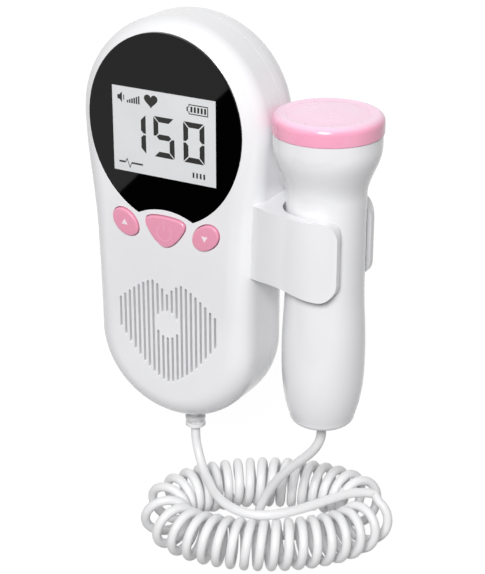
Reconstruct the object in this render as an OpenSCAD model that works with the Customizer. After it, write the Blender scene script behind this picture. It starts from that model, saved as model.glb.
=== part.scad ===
// Pocket fetal doppler monitor: a pear-shaped hand unit, a probe in a side clip and a curly cord.
// Millimetres. +Z up, the display faces -Y, the flat back lies on Y = 0 and the probe is on +X.

/* [Case] */
// Width of the round head of the case
head_w = 66.6; // [62:0.2:72]
// Width of the straight body below the head
body_w = 57.6; // [54:0.2:61]
// Drop from the head's centre to the centre of the bottom curve
body_drop = 74.2; // [70:0.2:80]
// Height of the bottom curve
foot_h = 28.1; // [25:0.1:31]
// Length over which the head narrows into the body
taper_l = 17; // [12:0.5:20]
// Depth of the case, front to back
case_d = 33.2; // [32.4:0.1:36]
// Radius of the front edge
front_r = 8.3; // [6:0.1:9]
// Radius of the back edge
back_r = 14.4; // [11:0.1:15]
// Wall of both shells
wall = 2.4; // [2:0.1:2.6]
// Lip of the back shell inside the front shell: how far it reaches in
lip_h = 2; // [1.2:0.1:2.2]
// Thickness of that lip
lip_t = 1; // [0.8:0.1:1.1]

/* [Display] */
// Width of the black window
window_w = 55.8; // [52:0.2:58]
// Height of the window above the head's centre
window_up = 29.4; // [27:0.1:30]
// Depth of the window below the head's centre
window_down = 32.3; // [30:0.1:33]
// Width of the arch that clears the power button
notch_w = 20.2; // [18:0.1:22]
// Rise of that arch
notch_rise = 2.4; // [1.5:0.1:3]
// Thickness of the window
window_t = 1.4; // [1:0.1:1.6]
// Width of the display's visible area
view_w = 37.8; // [34:0.1:38.4]
// Height of the visible area
view_h = 27.8; // [24:0.1:29]
// Drop from the head's centre to the middle of the visible area
view_drop = 3; // [2:0.1:4]
// Dark edge of the glass around the visible area
glass_edge = 1.2; // [0.8:0.1:1.3]
// Thickness of the display glass
glass_t = 2.2; // [1.8:0.1:2.4]

/* [Buttons] */
// Drop from the head's centre to the volume buttons
side_button_drop = 34.1; // [33.6:0.1:35]
// Distance of a volume button from the centre line
side_button_x = 15; // [14.8:0.1:15.6]
// Length of a volume button
side_button_l = 11; // [10:0.1:11.2]
// Width of a volume button
side_button_w = 8; // [7:0.1:8.2]
// Tilt of the volume buttons
side_button_tilt = 39; // [30:1:45]
// Drop from the head's centre to the power button
power_drop = 34.9; // [34.6:0.1:36]
// Width of the power button
power_w = 15.2; // [13:0.1:15.4]
// Height of the power button
power_h = 10.8; // [9:0.1:11]
// How far a button stands out of the case
button_proud = 0.9; // [0.85:0.05:1.2]
// Travel of a button
button_travel = 0.8; // [0.5:0.05:0.8]
// Gap between a button and its hole
button_gap = 0.2; // [0.15:0.05:0.3]
// Flange that keeps a button in: how far it reaches past the hole
flange_w = 0.6; // [0.4:0.1:0.7]
// Thickness of that flange
flange_t = 1.2; // [1:0.1:1.4]

/* [Heart grille] */
// Drop from the head's centre to the speaker's centre
heart_drop = 70; // [68:0.5:72]
// Distance between neighbouring slots
slot_pitch = 1.81; // [1.7:0.01:1.9]
// Width of a slot
slot_w = 0.75; // [0.6:0.05:0.9]
// Number of slots to each side of the middle one
slots_a_side = 10; // [8:1:10]
// Radius of the plain disc in the middle of the heart
heart_disc_r = 4.4; // [3.5:0.1:5]

/* [Speaker] */
// Radius of the speaker
speaker_r = 18; // [16:0.5:18]
// Thickness of the foam ring under the speaker
gasket_t = 0.8; // [0.5:0.1:1]

/* [Battery bay] */
// Diameter of a cell
cell_d = 14.5; // [14:0.1:14.6]
// Length of a cell
cell_l = 50.5; // [49:0.1:51]
// Drop from the head's centre to the top of the bay
bay_drop = 25; // [24:0.5:26]
// Wall of the bay
bay_wall = 1.4; // [1.2:0.1:1.6]
// Thickness of the battery cover
cover_t = 2; // [1.8:0.1:2.2]
// How far the cover reaches past the bay
cover_lap = 2; // [1.6:0.1:2.2]
// Number of grip grooves on the cover
cover_grooves = 5; // [3:1:6]

/* [Probe] */
// Gap between the side of the case's head and the probe's cap
cap_gap = 0.3; // [0.2:0.1:1.6]
// Distance of the probe's axis in front of the flat back
probe_fore = 20.6; // [19:0.1:21]
// Height of the seam under the probe's cap above the head's centre
seam_z = 3.1; // [2:0.1:4]
// Radius of the probe's head
probe_head_r = 16.7; // [16:0.1:16.9]
// Radius of the waist that the clip holds
waist_r = 12.4; // [12:0.05:12.8]
// Radius of the swelling below the waist
bulge_r = 13.3; // [12.9:0.05:13.6]
// Radius of the flat at the probe's lower end
probe_end_r = 8.2; // [7:0.1:9]
// Radius of the edge round that flat
probe_end_round = 2.3; // [1.5:0.1:3]
// Length of the probe below the seam
probe_l = 97.1; // [94:0.1:99]
// Wall of the probe's handle
probe_wall = 2.1; // [1.8:0.1:2.4]
// Radius of the pink cap
cap_r = 17.1; // [16.9:0.1:17.3]
// Height of the cap
cap_h = 6.1; // [5.6:0.1:7]

/* [Clip] */
// Height of the clip's upper edge below the head's centre
clip_drop = 20.7; // [18.5:0.1:24]
// Height of the clip
clip_h = 25.7; // [23:0.1:28]
// Thickness of the clip's arms
clip_t = 3; // [2.4:0.1:3.2]
// Clearance between the clip and the swelling that slides through it
clip_gap = 0.1; // [0.05:0.05:0.2]
// Half angle of the clip's mouth
mouth_a = 46; // [38:1:48]
// Corner radius of the arms' ends
clip_corner = 6; // [4:0.1:7]

/* [Cord] */
// Diameter of the cord
cord_d = 3.2; // [2.9:0.1:3.2]
// Outer diameter of the curls
curl_d = 17.6; // [16:0.1:17.6]
// Length of the strain relief outside the case
relief_l = 9.3; // [8.6:0.1:11]
// Radius of the strain relief's rings
relief_r = 3.45; // [3.2:0.05:3.6]

/* [Hidden] */

// Clearances
fit = 0.1;      // between fixed pieces that seat in each other
screw_fit = 0.05;
past = 1;       // how far a cut runs past the face that it opens

// Levels that several pieces share, from the front face backwards
front_y = -case_d;
inner_y = front_y + wall;
split_y = -case_d / 2;
glass_back_y = inner_y + glass_t;
board_gap = 3.2;
board_t = 1.6;
board_front_y = glass_back_y + board_gap;
board_back_y = board_front_y + board_t;
foot_z = -body_drop - foot_h;

// Left half of the case's outline, from the bottom up, and then its mirror image down again
head_steps = 14;
foot_steps = 13;
taper_steps = 6;
edge_steps = 6;
inner_steps = 3;

function half_w(z) = z < -taper_l ? body_w / 2
    : body_w / 2 + (head_w - body_w) / 2 * (1 + cos(180 * z / taper_l)) / 2;

foot_arc = [for (i = [0:foot_steps]) let (a = 270 - 90 * i / foot_steps)
    [body_w / 2 * cos(a), -body_drop + foot_h * sin(a)]];
left_taper = [for (i = [taper_steps:-1:1]) let (z = -taper_l * i / taper_steps) [-half_w(z), z]];
head_arc = [for (i = [0:head_steps]) let (a = 180 - 90 * i / head_steps)
    head_w / 2 * [cos(a), sin(a)]];
left_half = concat(foot_arc, left_taper, head_arc);
outline = concat(left_half, [for (i = [len(left_half) - 2:-1:1]) [-left_half[i].x, left_half[i].y]]);

function unit(v) = v / norm(v);
function outward(i) =
    let (n = len(outline), t = unit(outline[(i + 1) % n] - outline[(i + n - 1) % n])) [-t.y, t.x];
outline_normals = [for (i = [0:len(outline) - 1]) outward(i)];

function rim(inset, y) = [for (i = [0:len(outline) - 1])
    let (p = outline[i] - outline_normals[i] * inset) [p.x, y, p.y]];

// Rings of the case's skin, or of a skin that lies w inside it
function front_skin(w, steps, back_to) = concat(
    [for (i = [0:steps]) let (a = 90 * i / steps, r = front_r - w)
        rim(w + r * (1 - sin(a)), front_y + w + r * (1 - cos(a)))],
    [rim(w, back_to)]);
function back_skin(w, steps, front_to) = concat(
    [rim(w, front_to)],
    [for (i = [steps:-1:0]) let (a = 90 * i / steps, r = back_r - w)
        rim(w + r * (1 - sin(a)), -w - r * (1 - cos(a)))]);

// Solid through a list of rings, each seen counter-clockwise from the last ring's side. A ring's ends
// are closed by a ladder of triangles between its points i and n - i, which suits a symmetrical outline.
function ladder(n) = [for (k = [0:n - 3]) let (j = ceil(k / 2))
    k % 2 == 0 ? [j, j + 1, n - 1 - j] : [j, n - 1 - j, n - j]];
module loft(rings) {
    n = len(rings[0]);
    last = (len(rings) - 1) * n;
    polyhedron(
        points = [for (ring = rings) each ring],
        faces = concat(
            ladder(n),
            [for (t = ladder(n)) [last + t[2], last + t[1], last + t[0]]],
            [for (k = [0:len(rings) - 2]) for (i = [0:n - 1])
                let (a = k * n + i, b = k * n + (i + 1) % n) each [[a, a + n, b + n], [a, b + n, b]]]));
}

// A flat shape drawn in X and Z, made solid from y0 back to y1
module slab(y0, y1) {
    translate([0, y1, 0]) rotate([90, 0, 0]) linear_extrude(y1 - y0) children();
}

// A round rod along Y
module rod_y(x, z, r, y0, y1) {
    translate([x, y1, z]) rotate([90, 0, 0]) cylinder(r = r, h = y1 - y0, $fn = 32);
}

module round_rect(w, h, r) {
    half_w = w / 2 - r;
    half_h = h / 2 - r;
    polygon([for (q = [0:3]) for (i = [0:6])
        let (a = 90 * q + 15 * i, sx = q == 0 || q == 3 ? 1 : -1, sy = q < 2 ? 1 : -1)
        [sx * half_w + r * cos(a), sy * half_h + r * sin(a)]]);
}

// Window outline, grown by g on every side
function window_pts(g) =
    let (rx = window_w / 2 + g, up = window_up + g, down = window_down + g,
         cx = notch_w / 2, corner_a = acos(cx / rx), corner_z = -down * sin(corner_a),
         arch_r = (cx * cx + notch_rise * notch_rise) / (2 * notch_rise),
         arch_z = corner_z + notch_rise - arch_r, arch_a = asin(cx / arch_r))
    concat(
        [for (i = [0:24]) let (a = 180 * i / 24) [rx * cos(a), up * sin(a)]],
        [for (i = [1:12]) let (a = 180 + corner_a * i / 12) [rx * cos(a), down * sin(a)]],
        [for (i = [1:7]) let (a = 90 + arch_a * (1 - i / 4)) [arch_r * cos(a), arch_z + arch_r * sin(a)]],
        [for (i = [12:-1:1]) let (a = 360 - corner_a * i / 12) [rx * cos(a), down * sin(a)]]);

// Button outlines, clockwise from the front, grown by g
button_steps = 36;
function side_pts(side, g) = [for (i = [0:button_steps - 1])
    let (a = -360 * i / button_steps, tilt = side * side_button_tilt,
         u = (side_button_l / 2 + g) * cos(a), v = (side_button_w / 2 + g) * sin(a))
    [side * side_button_x + u * cos(tilt) - v * sin(tilt),
     -side_button_drop + u * sin(tilt) + v * cos(tilt)]];
shield_k = 0.15;    // how much the shield departs from an oval
shield_w = 1.04;    // its half width for a unit radius
function power_pts(g) = [for (i = [0:button_steps - 1])
    let (a = 360 * i / button_steps, rx = (power_w / 2 + g) / shield_w, rz = power_h / 2 + g)
    [-rx * (sin(a) - shield_k * sin(2 * a)),
     -power_drop - rz * (cos(a) + shield_k * (cos(2 * a) - 1))]];

// Heart outline: height of its upper and lower edges at a distance x from the middle
heart_half = slot_pitch * slots_a_side;
lobe_x = 0.3 * heart_half;
lobe_up = 17.5;     // top of the lobes above the heart's centre
cleft = 4.1;        // depth of the cleft between the lobes
shoulder = 8.5;     // fall of the upper edge from the lobe to the last slot
tip_down = 18;      // the tip below the heart's centre
flank = 16.3;       // rise of the lower edge from the tip to the last slot
function heart_top(x) = -heart_drop + lobe_up - (x < lobe_x
    ? cleft * pow((lobe_x - x) / lobe_x, 1.4)
    : shoulder * pow((x - lobe_x) / (heart_half - lobe_x), 1.33));
function heart_bottom(x) = -heart_drop - tip_down + flank * pow(x / heart_half, 1.55);
heart_disc_z = -heart_drop + 2.5;

// A slot with rounded ends, as one outline
slot_end = [for (a = [180:45:360]) slot_w / 2 * [cos(a), sin(a)]];
module slot(x, z0, z1) {
    polygon(concat(
        [for (p = slot_end) [x + p.x, z0 + slot_w / 2 + p.y]],
        [for (p = slot_end) [x - p.x, z1 - slot_w / 2 - p.y]]));
}

module heart_slots() {
    for (i = [-slots_a_side:slots_a_side]) {
        x = i * slot_pitch;
        top = heart_top(abs(x));
        bottom = heart_bottom(abs(x));
        if (abs(x) < heart_disc_r) {
            half = sqrt(heart_disc_r * heart_disc_r - x * x) + slot_w / 2;
            slot(x, heart_disc_z + half, top);
            slot(x, bottom, heart_disc_z - half);
        } else {
            slot(x, bottom, top);
        }
    }
}

// The round field of the front wall that holds the heart, inside the speaker's seat
grille_r = speaker_r - 0.2;
module grille() {
    slab(front_y, inner_y) difference() {
        translate([0, -heart_drop]) circle(r = grille_r, $fn = 64);
        heart_slots();
    }
}

// Case screws: two beside the top of the window, two beside the tip of the heart
screw_r = 1.2;
screw_head_r = 2.5;
screw_head_t = 1.6;
screw_seat_y = -8;
screw_l = 18;
boss_r = 3.2;
boss_skirt = 0.6;       // the back shell's bosses are this much wider
screw_at = [[-13, 22], [13, 22], [-14, -body_drop - 15.8], [14, -body_drop - 15.8]];

// Board posts and screws
post_r = 1.8;
board_screw_r = 0.9;
board_screw_head_r = 1.7;
board_screw_head_t = 1;
board_screw_l = 4.4;
post_at = [[-22.8, -24], [22.8, -24], [-22.8, 14.6], [22.8, 14.6]];

// Clip screws
clip_screw_r = 1;
clip_screw_head_r = 1.9;
clip_screw_head_t = 1.2;
clip_screw_l = 6.6;
clip_screw_y = split_y - 4.6;
clip_screw_zs = [-clip_drop - 0.25 * clip_h, -clip_drop - 0.75 * clip_h];
side_in_x = body_w / 2 - wall;

module clip_screw_holes(r) {
    for (z = clip_screw_zs) translate([side_in_x - past, clip_screw_y, z])
        rotate([0, 90, 0]) cylinder(r = r, h = clip_screw_l + past, $fn = 24);
}

// Strain relief levels
relief_neck_r = 2.4;
relief_flange_r = 3.6;
relief_flange_t = 1.6;
relief_top_z = foot_z + wall + 0.2;
relief_out_z = foot_z - fit;
relief_end_z = relief_out_z - relief_l;

module relief_hole() {
    translate([0, split_y, foot_z - past]) cylinder(r = relief_neck_r + fit, h = wall + 2 * past, $fn = 32);
    translate([0, split_y, relief_top_z - fit]) cylinder(r = relief_flange_r + fit, h = 2 * wall, $fn = 32);
}

white = [0.94, 0.94, 0.94];
pink = [0.93, 0.58, 0.7];

module front_shell() {
    speaker_wall = 1.4;
    speaker_rim_h = 4.5;
    color(white) grille();
    color(white) difference() {
        union() {
            difference() {
                loft(front_skin(0, edge_steps, split_y));
                loft(front_skin(wall, inner_steps, split_y + past));
            }
            for (p = screw_at) rod_y(p.x, p.y, boss_r, inner_y - fit, split_y);
            for (p = post_at) rod_y(p.x, p.y, post_r, inner_y - fit, board_front_y);
            rod_y(0, -heart_drop, speaker_r + fit + speaker_wall, inner_y - fit, inner_y + speaker_rim_h);
        }
        rod_y(0, -heart_drop, speaker_r + fit, inner_y, inner_y + speaker_rim_h + past);
        slab(front_y - past, front_y + window_t) polygon(window_pts(fit));
        slab(front_y, inner_y + past) glass_shape(fit);
        slab(front_y - past, inner_y + past) polygon(power_pts(button_gap));
        for (side = [-1, 1]) slab(front_y - past, inner_y + past) polygon(side_pts(side, button_gap));
        rod_y(0, -heart_drop, grille_r, front_y - past, inner_y + past);
        for (p = screw_at)
            rod_y(p.x, p.y, screw_r + screw_fit, screw_seat_y - screw_l - past, split_y + past);
        for (p = post_at)
            rod_y(p.x, p.y, board_screw_r + screw_fit, board_front_y - board_screw_l, board_front_y + past);
        clip_screw_holes(clip_screw_r + screw_fit);
        relief_hole();
    }
}

// Battery bay and cover
bay_w = 2 * cell_d + 2;
contact_room = 4.5;
bay_h = cell_l + contact_room;
bay_z = -bay_drop - bay_h / 2;
bay_floor_y = -cover_t - cell_d - 4 * fit;
cover_w = bay_w + 2 * cover_lap;
cover_h = bay_h + 2 * cover_lap;
cover_corner = 5;
ledge_w = 1.6;
ledge_t = 2.2;
finger_w = 9;
finger_h = 4;
finger_t = 1.2;
cell_x = cell_d / 2 + 3 * fit;
cell_y = bay_floor_y + cell_d / 2 + fit;
plate_t = 0.6;
spring_l = contact_room - 2 * plate_t;

module cover_shape(g) {
    translate([0, bay_z]) round_rect(cover_w + 2 * g, cover_h + 2 * g, cover_corner + g);
}

module finger_shape(g) {
    translate([0, bay_z + bay_h / 2 + cover_lap - finger_t / 2 - fit])
        square([finger_w + g, finger_t + g], center = true);
}

module back_shell() {
    color(white) difference() {
        union() {
            difference() {
                loft(back_skin(0, edge_steps, split_y));
                loft(back_skin(wall, inner_steps, split_y - past));
            }
            intersection() {
                loft(back_skin(fit, edge_steps, split_y));
                union() {
                    slab(-cover_t - ledge_t, 0) cover_shape(ledge_w);
                    for (p = screw_at) rod_y(p.x, p.y, boss_r + boss_skirt, split_y, 0);
                }
            }
            slab(bay_floor_y - bay_wall, -cover_t)
                translate([0, bay_z]) square([bay_w + 2 * bay_wall, bay_h + 2 * bay_wall], center = true);
            difference() {
                loft([rim(wall + fit, split_y - lip_h), rim(wall + fit, split_y),
                    rim(wall - fit, split_y), rim(wall - fit, split_y + lip_h)]);
                loft([rim(wall + fit + lip_t, split_y - lip_h - past),
                    rim(wall + fit + lip_t, split_y + lip_h + past)]);
            }
        }
        slab(-cover_t, past) cover_shape(fit);
        slab(bay_floor_y, past) translate([0, bay_z]) square([bay_w, bay_h], center = true);
        slab(-cover_t - finger_h - fit, 0) finger_shape(2 * fit);
        for (p = screw_at) {
            rod_y(p.x, p.y, screw_head_r + fit, screw_seat_y, past);
            rod_y(p.x, p.y, screw_r + fit, split_y - past, screw_seat_y + past);
        }
        relief_hole();
    }
}

// The cover follows the back, with a latch finger at its upper end and grip grooves below it
groove_w = 16;
groove_h = 0.8;
groove_t = 0.5;
groove_pitch = 1.8;
groove_step = 1.6;      // each groove is this much shorter than the one above
groove_from = 11;       // the first lies this far below the cover's upper edge

module battery_cover() {
    top_z = bay_z + bay_h / 2 + cover_lap;
    color(white) difference() {
        union() {
            intersection() {
                loft(back_skin(0, edge_steps, split_y));
                slab(-cover_t, past) cover_shape(0);
            }
            slab(-cover_t - finger_h, -cover_t / 2) finger_shape(0);
        }
        for (i = [0:cover_grooves - 1])
            slab(-groove_t, past) translate([0, top_z - groove_from - i * groove_pitch])
                square([groove_w - i * groove_step, groove_h], center = true);
    }
}

module display_window() {
    color([0.03, 0.03, 0.035]) intersection() {
        loft(front_skin(0, edge_steps, split_y));
        slab(front_y - past, front_y + window_t) polygon(window_pts(0));
    }
}

glass_w = view_w + 2 * glass_edge;
glass_h = view_h + 2 * glass_edge;

// A rectangle about the middle of the display, grown by g on every side
module glass_shape(g) {
    translate([0, -view_drop]) square([glass_w + 2 * g, glass_h + 2 * g], center = true);
}

module lcd_panel() {
    color([0.82, 0.85, 0.86]) slab(front_y + window_t, glass_back_y) glass_shape(0);
}

module lcd_frame() {
    frame_wall = 0.5;
    back_pocket = 1.6;
    shelf = 0.7;    // ledge between the glass and the room for the back light
    color([0.9, 0.9, 0.88]) difference() {
        slab(inner_y + glass_t / 2, board_front_y) glass_shape(frame_wall);
        slab(inner_y, glass_back_y) glass_shape(fit / 2);
        slab(board_front_y - back_pocket, board_front_y + past) glass_shape(-shelf);
    }
}

// A button: face with a rounded edge, retaining flange and a stem that points at its switch
stem_r = 1.6;
stem_y = inner_y + flange_t + 1.4;
button_edge = [[1.6, 0], [0.7, 0.12], [0.25, 0.4], [0, 0.8]];  // in from the outline, back from the top
function tagged(pts, y) = [for (p = pts) [p.x, y, p.y]];

module button(shape, centre) {
    loft(concat(
        [for (e = button_edge) tagged(shape(-e[0]), front_y - button_proud + e[1])],
        [tagged(shape(0), inner_y + flange_t / 2)]));
    slab(inner_y + fit, inner_y + flange_t) polygon(shape(button_gap + flange_w));
    rod_y(centre.x, centre.y, stem_r, inner_y + flange_t / 2, stem_y);
}

module volume_up_button() {
    color(pink) button(function (g) side_pts(-1, g), [-side_button_x, -side_button_drop]);
}

module volume_down_button() {
    color(pink) button(function (g) side_pts(1, g), [side_button_x, -side_button_drop]);
}

module power_button() {
    color(pink) button(function (g) power_pts(g), [0, -power_drop]);
}

// Keypad sheet under the stems, carried by the switches
membrane_t = 0.4;
membrane_y = stem_y + button_travel + fit / 2;
membrane_w = 2 * side_button_x + 10;
membrane_h = 14;

module button_membrane() {
    color([0.8, 0.8, 0.8]) slab(membrane_y, membrane_y + membrane_t)
        translate([0, -(side_button_drop + power_drop) / 2]) square([membrane_w, membrane_h], center = true);
}

switch_at = [[-side_button_x, -side_button_drop], [0, -power_drop], [side_button_x, -side_button_drop]];

module tact_switches() {
    housing_w = 6;
    housing_t = 1;
    plunger_r = 1.75;
    color([0.15, 0.15, 0.15]) for (p = switch_at) {
        slab(board_front_y - housing_t, board_front_y) translate([p.x, p.y]) square(housing_w, center = true);
        rod_y(p.x, p.y, plunger_r, membrane_y + membrane_t, board_front_y - housing_t / 2);
    }
}

board_w = 2 * post_at[1].x + 3.6;
board_top_z = post_at[2].y + 1.9;
board_bottom_z = -46.4;

module main_board() {
    chips = [[-8, 2, 9, 9], [9, -4, 7, 5], [-6, -20, 5, 8], [12, -28, 10, 6]];     // x, z, width, height
    chip_t = 1.1;
    color([0.1, 0.4, 0.2]) difference() {
        union() {
            slab(board_front_y, board_back_y) translate([0, (board_top_z + board_bottom_z) / 2])
                square([board_w, board_top_z - board_bottom_z], center = true);
            for (q = chips) slab(board_back_y - chip_t / 2, board_back_y + chip_t)
                translate([q[0], q[1]]) square([q[2], q[3]], center = true);
        }
        for (p = post_at)
            rod_y(p.x, p.y, board_screw_r + screw_fit, board_front_y - past, board_back_y + past);
    }
}

module board_screws() {
    color([0.6, 0.6, 0.62]) for (p = post_at) {
        rod_y(p.x, p.y, board_screw_r, board_front_y - board_screw_l + fit, board_back_y);
        rod_y(p.x, p.y, board_screw_head_r, board_back_y, board_back_y + board_screw_head_t);
    }
}

module case_screws() {
    color([0.6, 0.6, 0.62]) for (p = screw_at) {
        rod_y(p.x, p.y, screw_r, screw_seat_y - screw_l, screw_seat_y);
        rod_y(p.x, p.y, screw_head_r, screw_seat_y, screw_seat_y + screw_head_t);
    }
}

module speaker_gasket() {
    color([0.2, 0.2, 0.2]) difference() {
        rod_y(0, -heart_drop, speaker_r, inner_y, inner_y + gasket_t);
        rod_y(0, -heart_drop, speaker_r - 1.6, inner_y - past, inner_y + gasket_t + past);
    }
}

module speaker() {
    rim_t = 1;
    rim_w = 1.5;
    cone_l = 3.4;
    cone_back_r = 10;
    magnet_r = 8.5;
    magnet_l = 3.4;
    color([0.3, 0.3, 0.32]) translate([0, inner_y + gasket_t, -heart_drop]) rotate([-90, 0, 0])
        rotate_extrude($fn = 64) polygon([
            [0, 1.2], [5, 1.6], [speaker_r - 3, 0.5], [speaker_r - 2, 0], [speaker_r, 0], [speaker_r, rim_t],
            [speaker_r - rim_w, rim_t], [cone_back_r, rim_t + cone_l], [magnet_r, rim_t + cone_l],
            [magnet_r, rim_t + cone_l + magnet_l], [0, rim_t + cone_l + magnet_l]]);
}

module battery_cells() {
    nub_r = 2.8;
    nub_l = 1.2;
    cell_top = bay_z + bay_h / 2 - plate_t;
    color([0.25, 0.3, 0.35]) for (side = [-1, 1]) {
        turned = side > 0;
        z0 = turned ? cell_top - cell_l : bay_z - bay_h / 2 + plate_t;
        translate([side * cell_x, cell_y, z0 + (turned ? 0 : nub_l)])
            cylinder(d = cell_d, h = cell_l - nub_l, $fn = 48);
        translate([side * cell_x, cell_y, turned ? z0 + cell_l - 2 * nub_l : z0])
            cylinder(r = nub_r, h = 2 * nub_l, $fn = 32);
    }
}

module battery_contacts() {
    plate = 10;
    color([0.75, 0.75, 0.72]) for (side = [-1, 1]) for (up = [-1, 1]) {
        spring = side == up ? false : true;
        end_z = bay_z + up * bay_h / 2;
        translate([side * cell_x, cell_y, end_z - up * plate_t / 2])
            cube([plate, plate, plate_t], center = true);
        if (spring) translate([side * cell_x, cell_y, end_z - up * plate_t]) mirror([0, 0, up > 0 ? 1 : 0])
            rotate_extrude($fn = 32) polygon([
                [2.6, -plate_t / 2], [4.4, 0], [4.1, 0.9], [3.6, 1.1], [3.7, 1.9], [3.1, 2.2],
                [3.1, spring_l], [1.8, spring_l], [1.8, 2.2]]);
    }
}

// Axis of the probe and its clip, front to back
probe_x = head_w / 2 + cap_r + cap_gap;
probe_y = -probe_fore;

// Clip: arms that leave the case in a sweep, a round seat for the probe and an open mouth
clip_in_r = bulge_r + clip_gap;
clip_out_r = clip_in_r + clip_t;
function bezier(p, t) = let (s = 1 - t)
    s * s * s * p[0] + 3 * s * s * t * p[1] + 3 * s * t * t * p[2] + t * t * t * p[3];

// Section of the case's side in X and Y, with the same steps as its skin
case_section = concat(
    [[0, front_y]],
    [for (i = [0:edge_steps]) let (a = 90 * i / edge_steps)
        [body_w / 2 - front_r * (1 - sin(a)), front_y + front_r * (1 - cos(a))]],
    [for (i = [edge_steps:-1:0]) let (a = 90 * i / edge_steps)
        [body_w / 2 - back_r * (1 - sin(a)), -back_r * (1 - cos(a))]],
    [[0, 0]]);

clip_root_x = body_w / 2 - 4.8;
clip_root_y = -7.4;     // half width of the web where it leaves the case
arm_front = [[clip_root_x, clip_root_y], [clip_root_x + 7, clip_root_y - 0.8],
    [probe_x - 12, -clip_out_r], [probe_x, -clip_out_r]];

module clip_profile() {
    sweep = [for (i = [0:10]) bezier(arm_front, i / 10)];
    back_sweep = [for (i = [10:-1:0]) [sweep[i].x, -sweep[i].y]];
    difference() {
        union() {
            polygon(concat(sweep, back_sweep));
            translate([probe_x, 0]) circle(r = clip_out_r, $fn = 72);
        }
        translate([0, -probe_y]) polygon(case_section);
        translate([probe_x, 0]) circle(r = clip_in_r, $fn = 72);
        translate([probe_x, 0]) polygon([
            [0, 0], 2 * clip_out_r * [cos(mouth_a), -sin(mouth_a)], [3 * clip_out_r, 0],
            2 * clip_out_r * [cos(mouth_a), sin(mouth_a)]]);
    }
}

// Side view of the clip, with rounded corners at the arms' ends
module clip_side() {
    tip_x = probe_x + clip_out_r * cos(mouth_a) + fit;
    corner_x = 0.9 * clip_corner;
    corners = [for (i = [0:8]) let (a = 90 * i / 8)
        [tip_x - corner_x * (1 - cos(a)), clip_h / 2 - clip_corner * (1 - sin(a))]];
    lower = [for (i = [8:-1:0]) [corners[i].x, -corners[i].y]];
    translate([0, -clip_drop - clip_h / 2])
        polygon(concat([[0, clip_h / 2]], [[0, -clip_h / 2]], lower, corners));
}

module probe_clip() {
    color(white) difference() {
        intersection() {
            translate([0, probe_y, -clip_drop - clip_h]) linear_extrude(clip_h) clip_profile();
            slab(-2 * case_d, case_d) clip_side();
        }
        clip_screw_holes(clip_screw_r + screw_fit);
    }
}

module clip_screws() {
    color([0.6, 0.6, 0.62]) for (z = clip_screw_zs) {
        translate([side_in_x, clip_screw_y, z]) rotate([0, 90, 0])
            cylinder(r = clip_screw_r, h = clip_screw_l - fit, $fn = 24);
        translate([side_in_x - clip_screw_head_t, clip_screw_y, z]) rotate([0, 90, 0])
            cylinder(r = clip_screw_head_r, h = clip_screw_head_t, $fn = 24);
    }
}

// Strain relief: flange in the case, neck through the wall, then a ribbed sleeve with staggered slots
module strain_relief() {
    sleeve_r = relief_r - 0.9;
    rings = 4;
    ring_h = 1.5;
    pitch = (relief_l - ring_h) / (rings - 1);
    gap_h = pitch - ring_h;
    color([0.9, 0.9, 0.9]) translate([0, split_y, 0]) difference() {
        union() {
            translate([0, 0, relief_top_z]) cylinder(r = relief_flange_r, h = relief_flange_t, $fn = 40);
            translate([0, 0, relief_out_z - past]) cylinder(r = relief_neck_r, h = wall + 2 * past, $fn = 40);
            translate([0, 0, relief_end_z]) cylinder(r = sleeve_r, h = relief_l, $fn = 40);
            for (i = [0:rings - 1]) translate([0, 0, relief_end_z + i * pitch])
                cylinder(r = relief_r, h = ring_h, $fn = 40);
        }
        for (i = [0:rings - 2]) translate([0, 0, relief_end_z + i * pitch + ring_h + gap_h / 2])
            rotate([0, 0, 90 * (i + 1)]) for (side = [-1, 1])
                translate([side * relief_r, 0, 0]) cube([relief_r, 3 * relief_r, gap_h], center = true);
    }
}

// Curly cord: an oval ring of curls below the unit, wound from the cord that comes off the case
floor_z = -147;
ring_at = [28.5, -16.6];
ring_long = 34.8;       // half length of the oval through the curls' centres
ring_short = 20.6;      // half width
ring_turn = 30;         // the oval's long axis from +X
ring_from = -8;         // where on the oval the first curl starts
ring_span = 348;        // how far round the curls run
curls = 35;
rings_a_curl = 8;
cord_sides = 6;
curl_r = (curl_d - cord_d) / 2;
curl_z = floor_z + curl_d / 2;
start_phase = 60;       // the cord comes in on the outer shoulder of the first curl
end_phase = 225;        // and leaves at the inner bottom of the last

axis_u = [cos(ring_turn), sin(ring_turn)];
axis_v = [-sin(ring_turn), cos(ring_turn)];
function oval(a) = ring_at + ring_long * cos(a) * axis_u + ring_short * sin(a) * axis_v;
function oval_out(a) = unit(cos(a) / ring_long * axis_u + sin(a) / ring_short * axis_v);
function oval_in(a) = oval(a) - curl_r * oval_out(a);

// Angle on the oval against the length run along its inner side, so that the curls lie evenly there
arc_steps = 180;
arc_angles = [for (i = [0:arc_steps]) ring_from - ring_span * i / arc_steps];
arc_lengths = [for (i = 0, s = 0; i <= arc_steps;
    s = i < arc_steps ? s + norm(oval_in(arc_angles[i + 1]) - oval_in(arc_angles[i])) : s, i = i + 1) s];
arc_table = [for (i = [0:arc_steps]) [arc_lengths[i], arc_angles[i]]];

function curl_point(turn) =
    let (a = lookup(turn / curls * arc_lengths[arc_steps], arc_table), phase = start_phase - 360 * turn,
         p = oval(a) + curl_r * cos(phase) * oval_out(a))
    [p.x, p.y, curl_z + curl_r * sin(phase)];
last_turn = curls - 1 + (start_phase - end_phase + 360) / 360;
coil_bends = [for (i = [0:floor(last_turn * rings_a_curl)]) curl_point(i / rings_a_curl)];
bends = len(coil_bends);
coil_start = coil_bends[0] - cord_d * unit(coil_bends[1] - coil_bends[0]);
coil_end = coil_bends[bends - 1] + cord_d * unit(coil_bends[bends - 1] - coil_bends[bends - 2]);
coil_line = concat([coil_start], coil_bends, [coil_end]);

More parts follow.
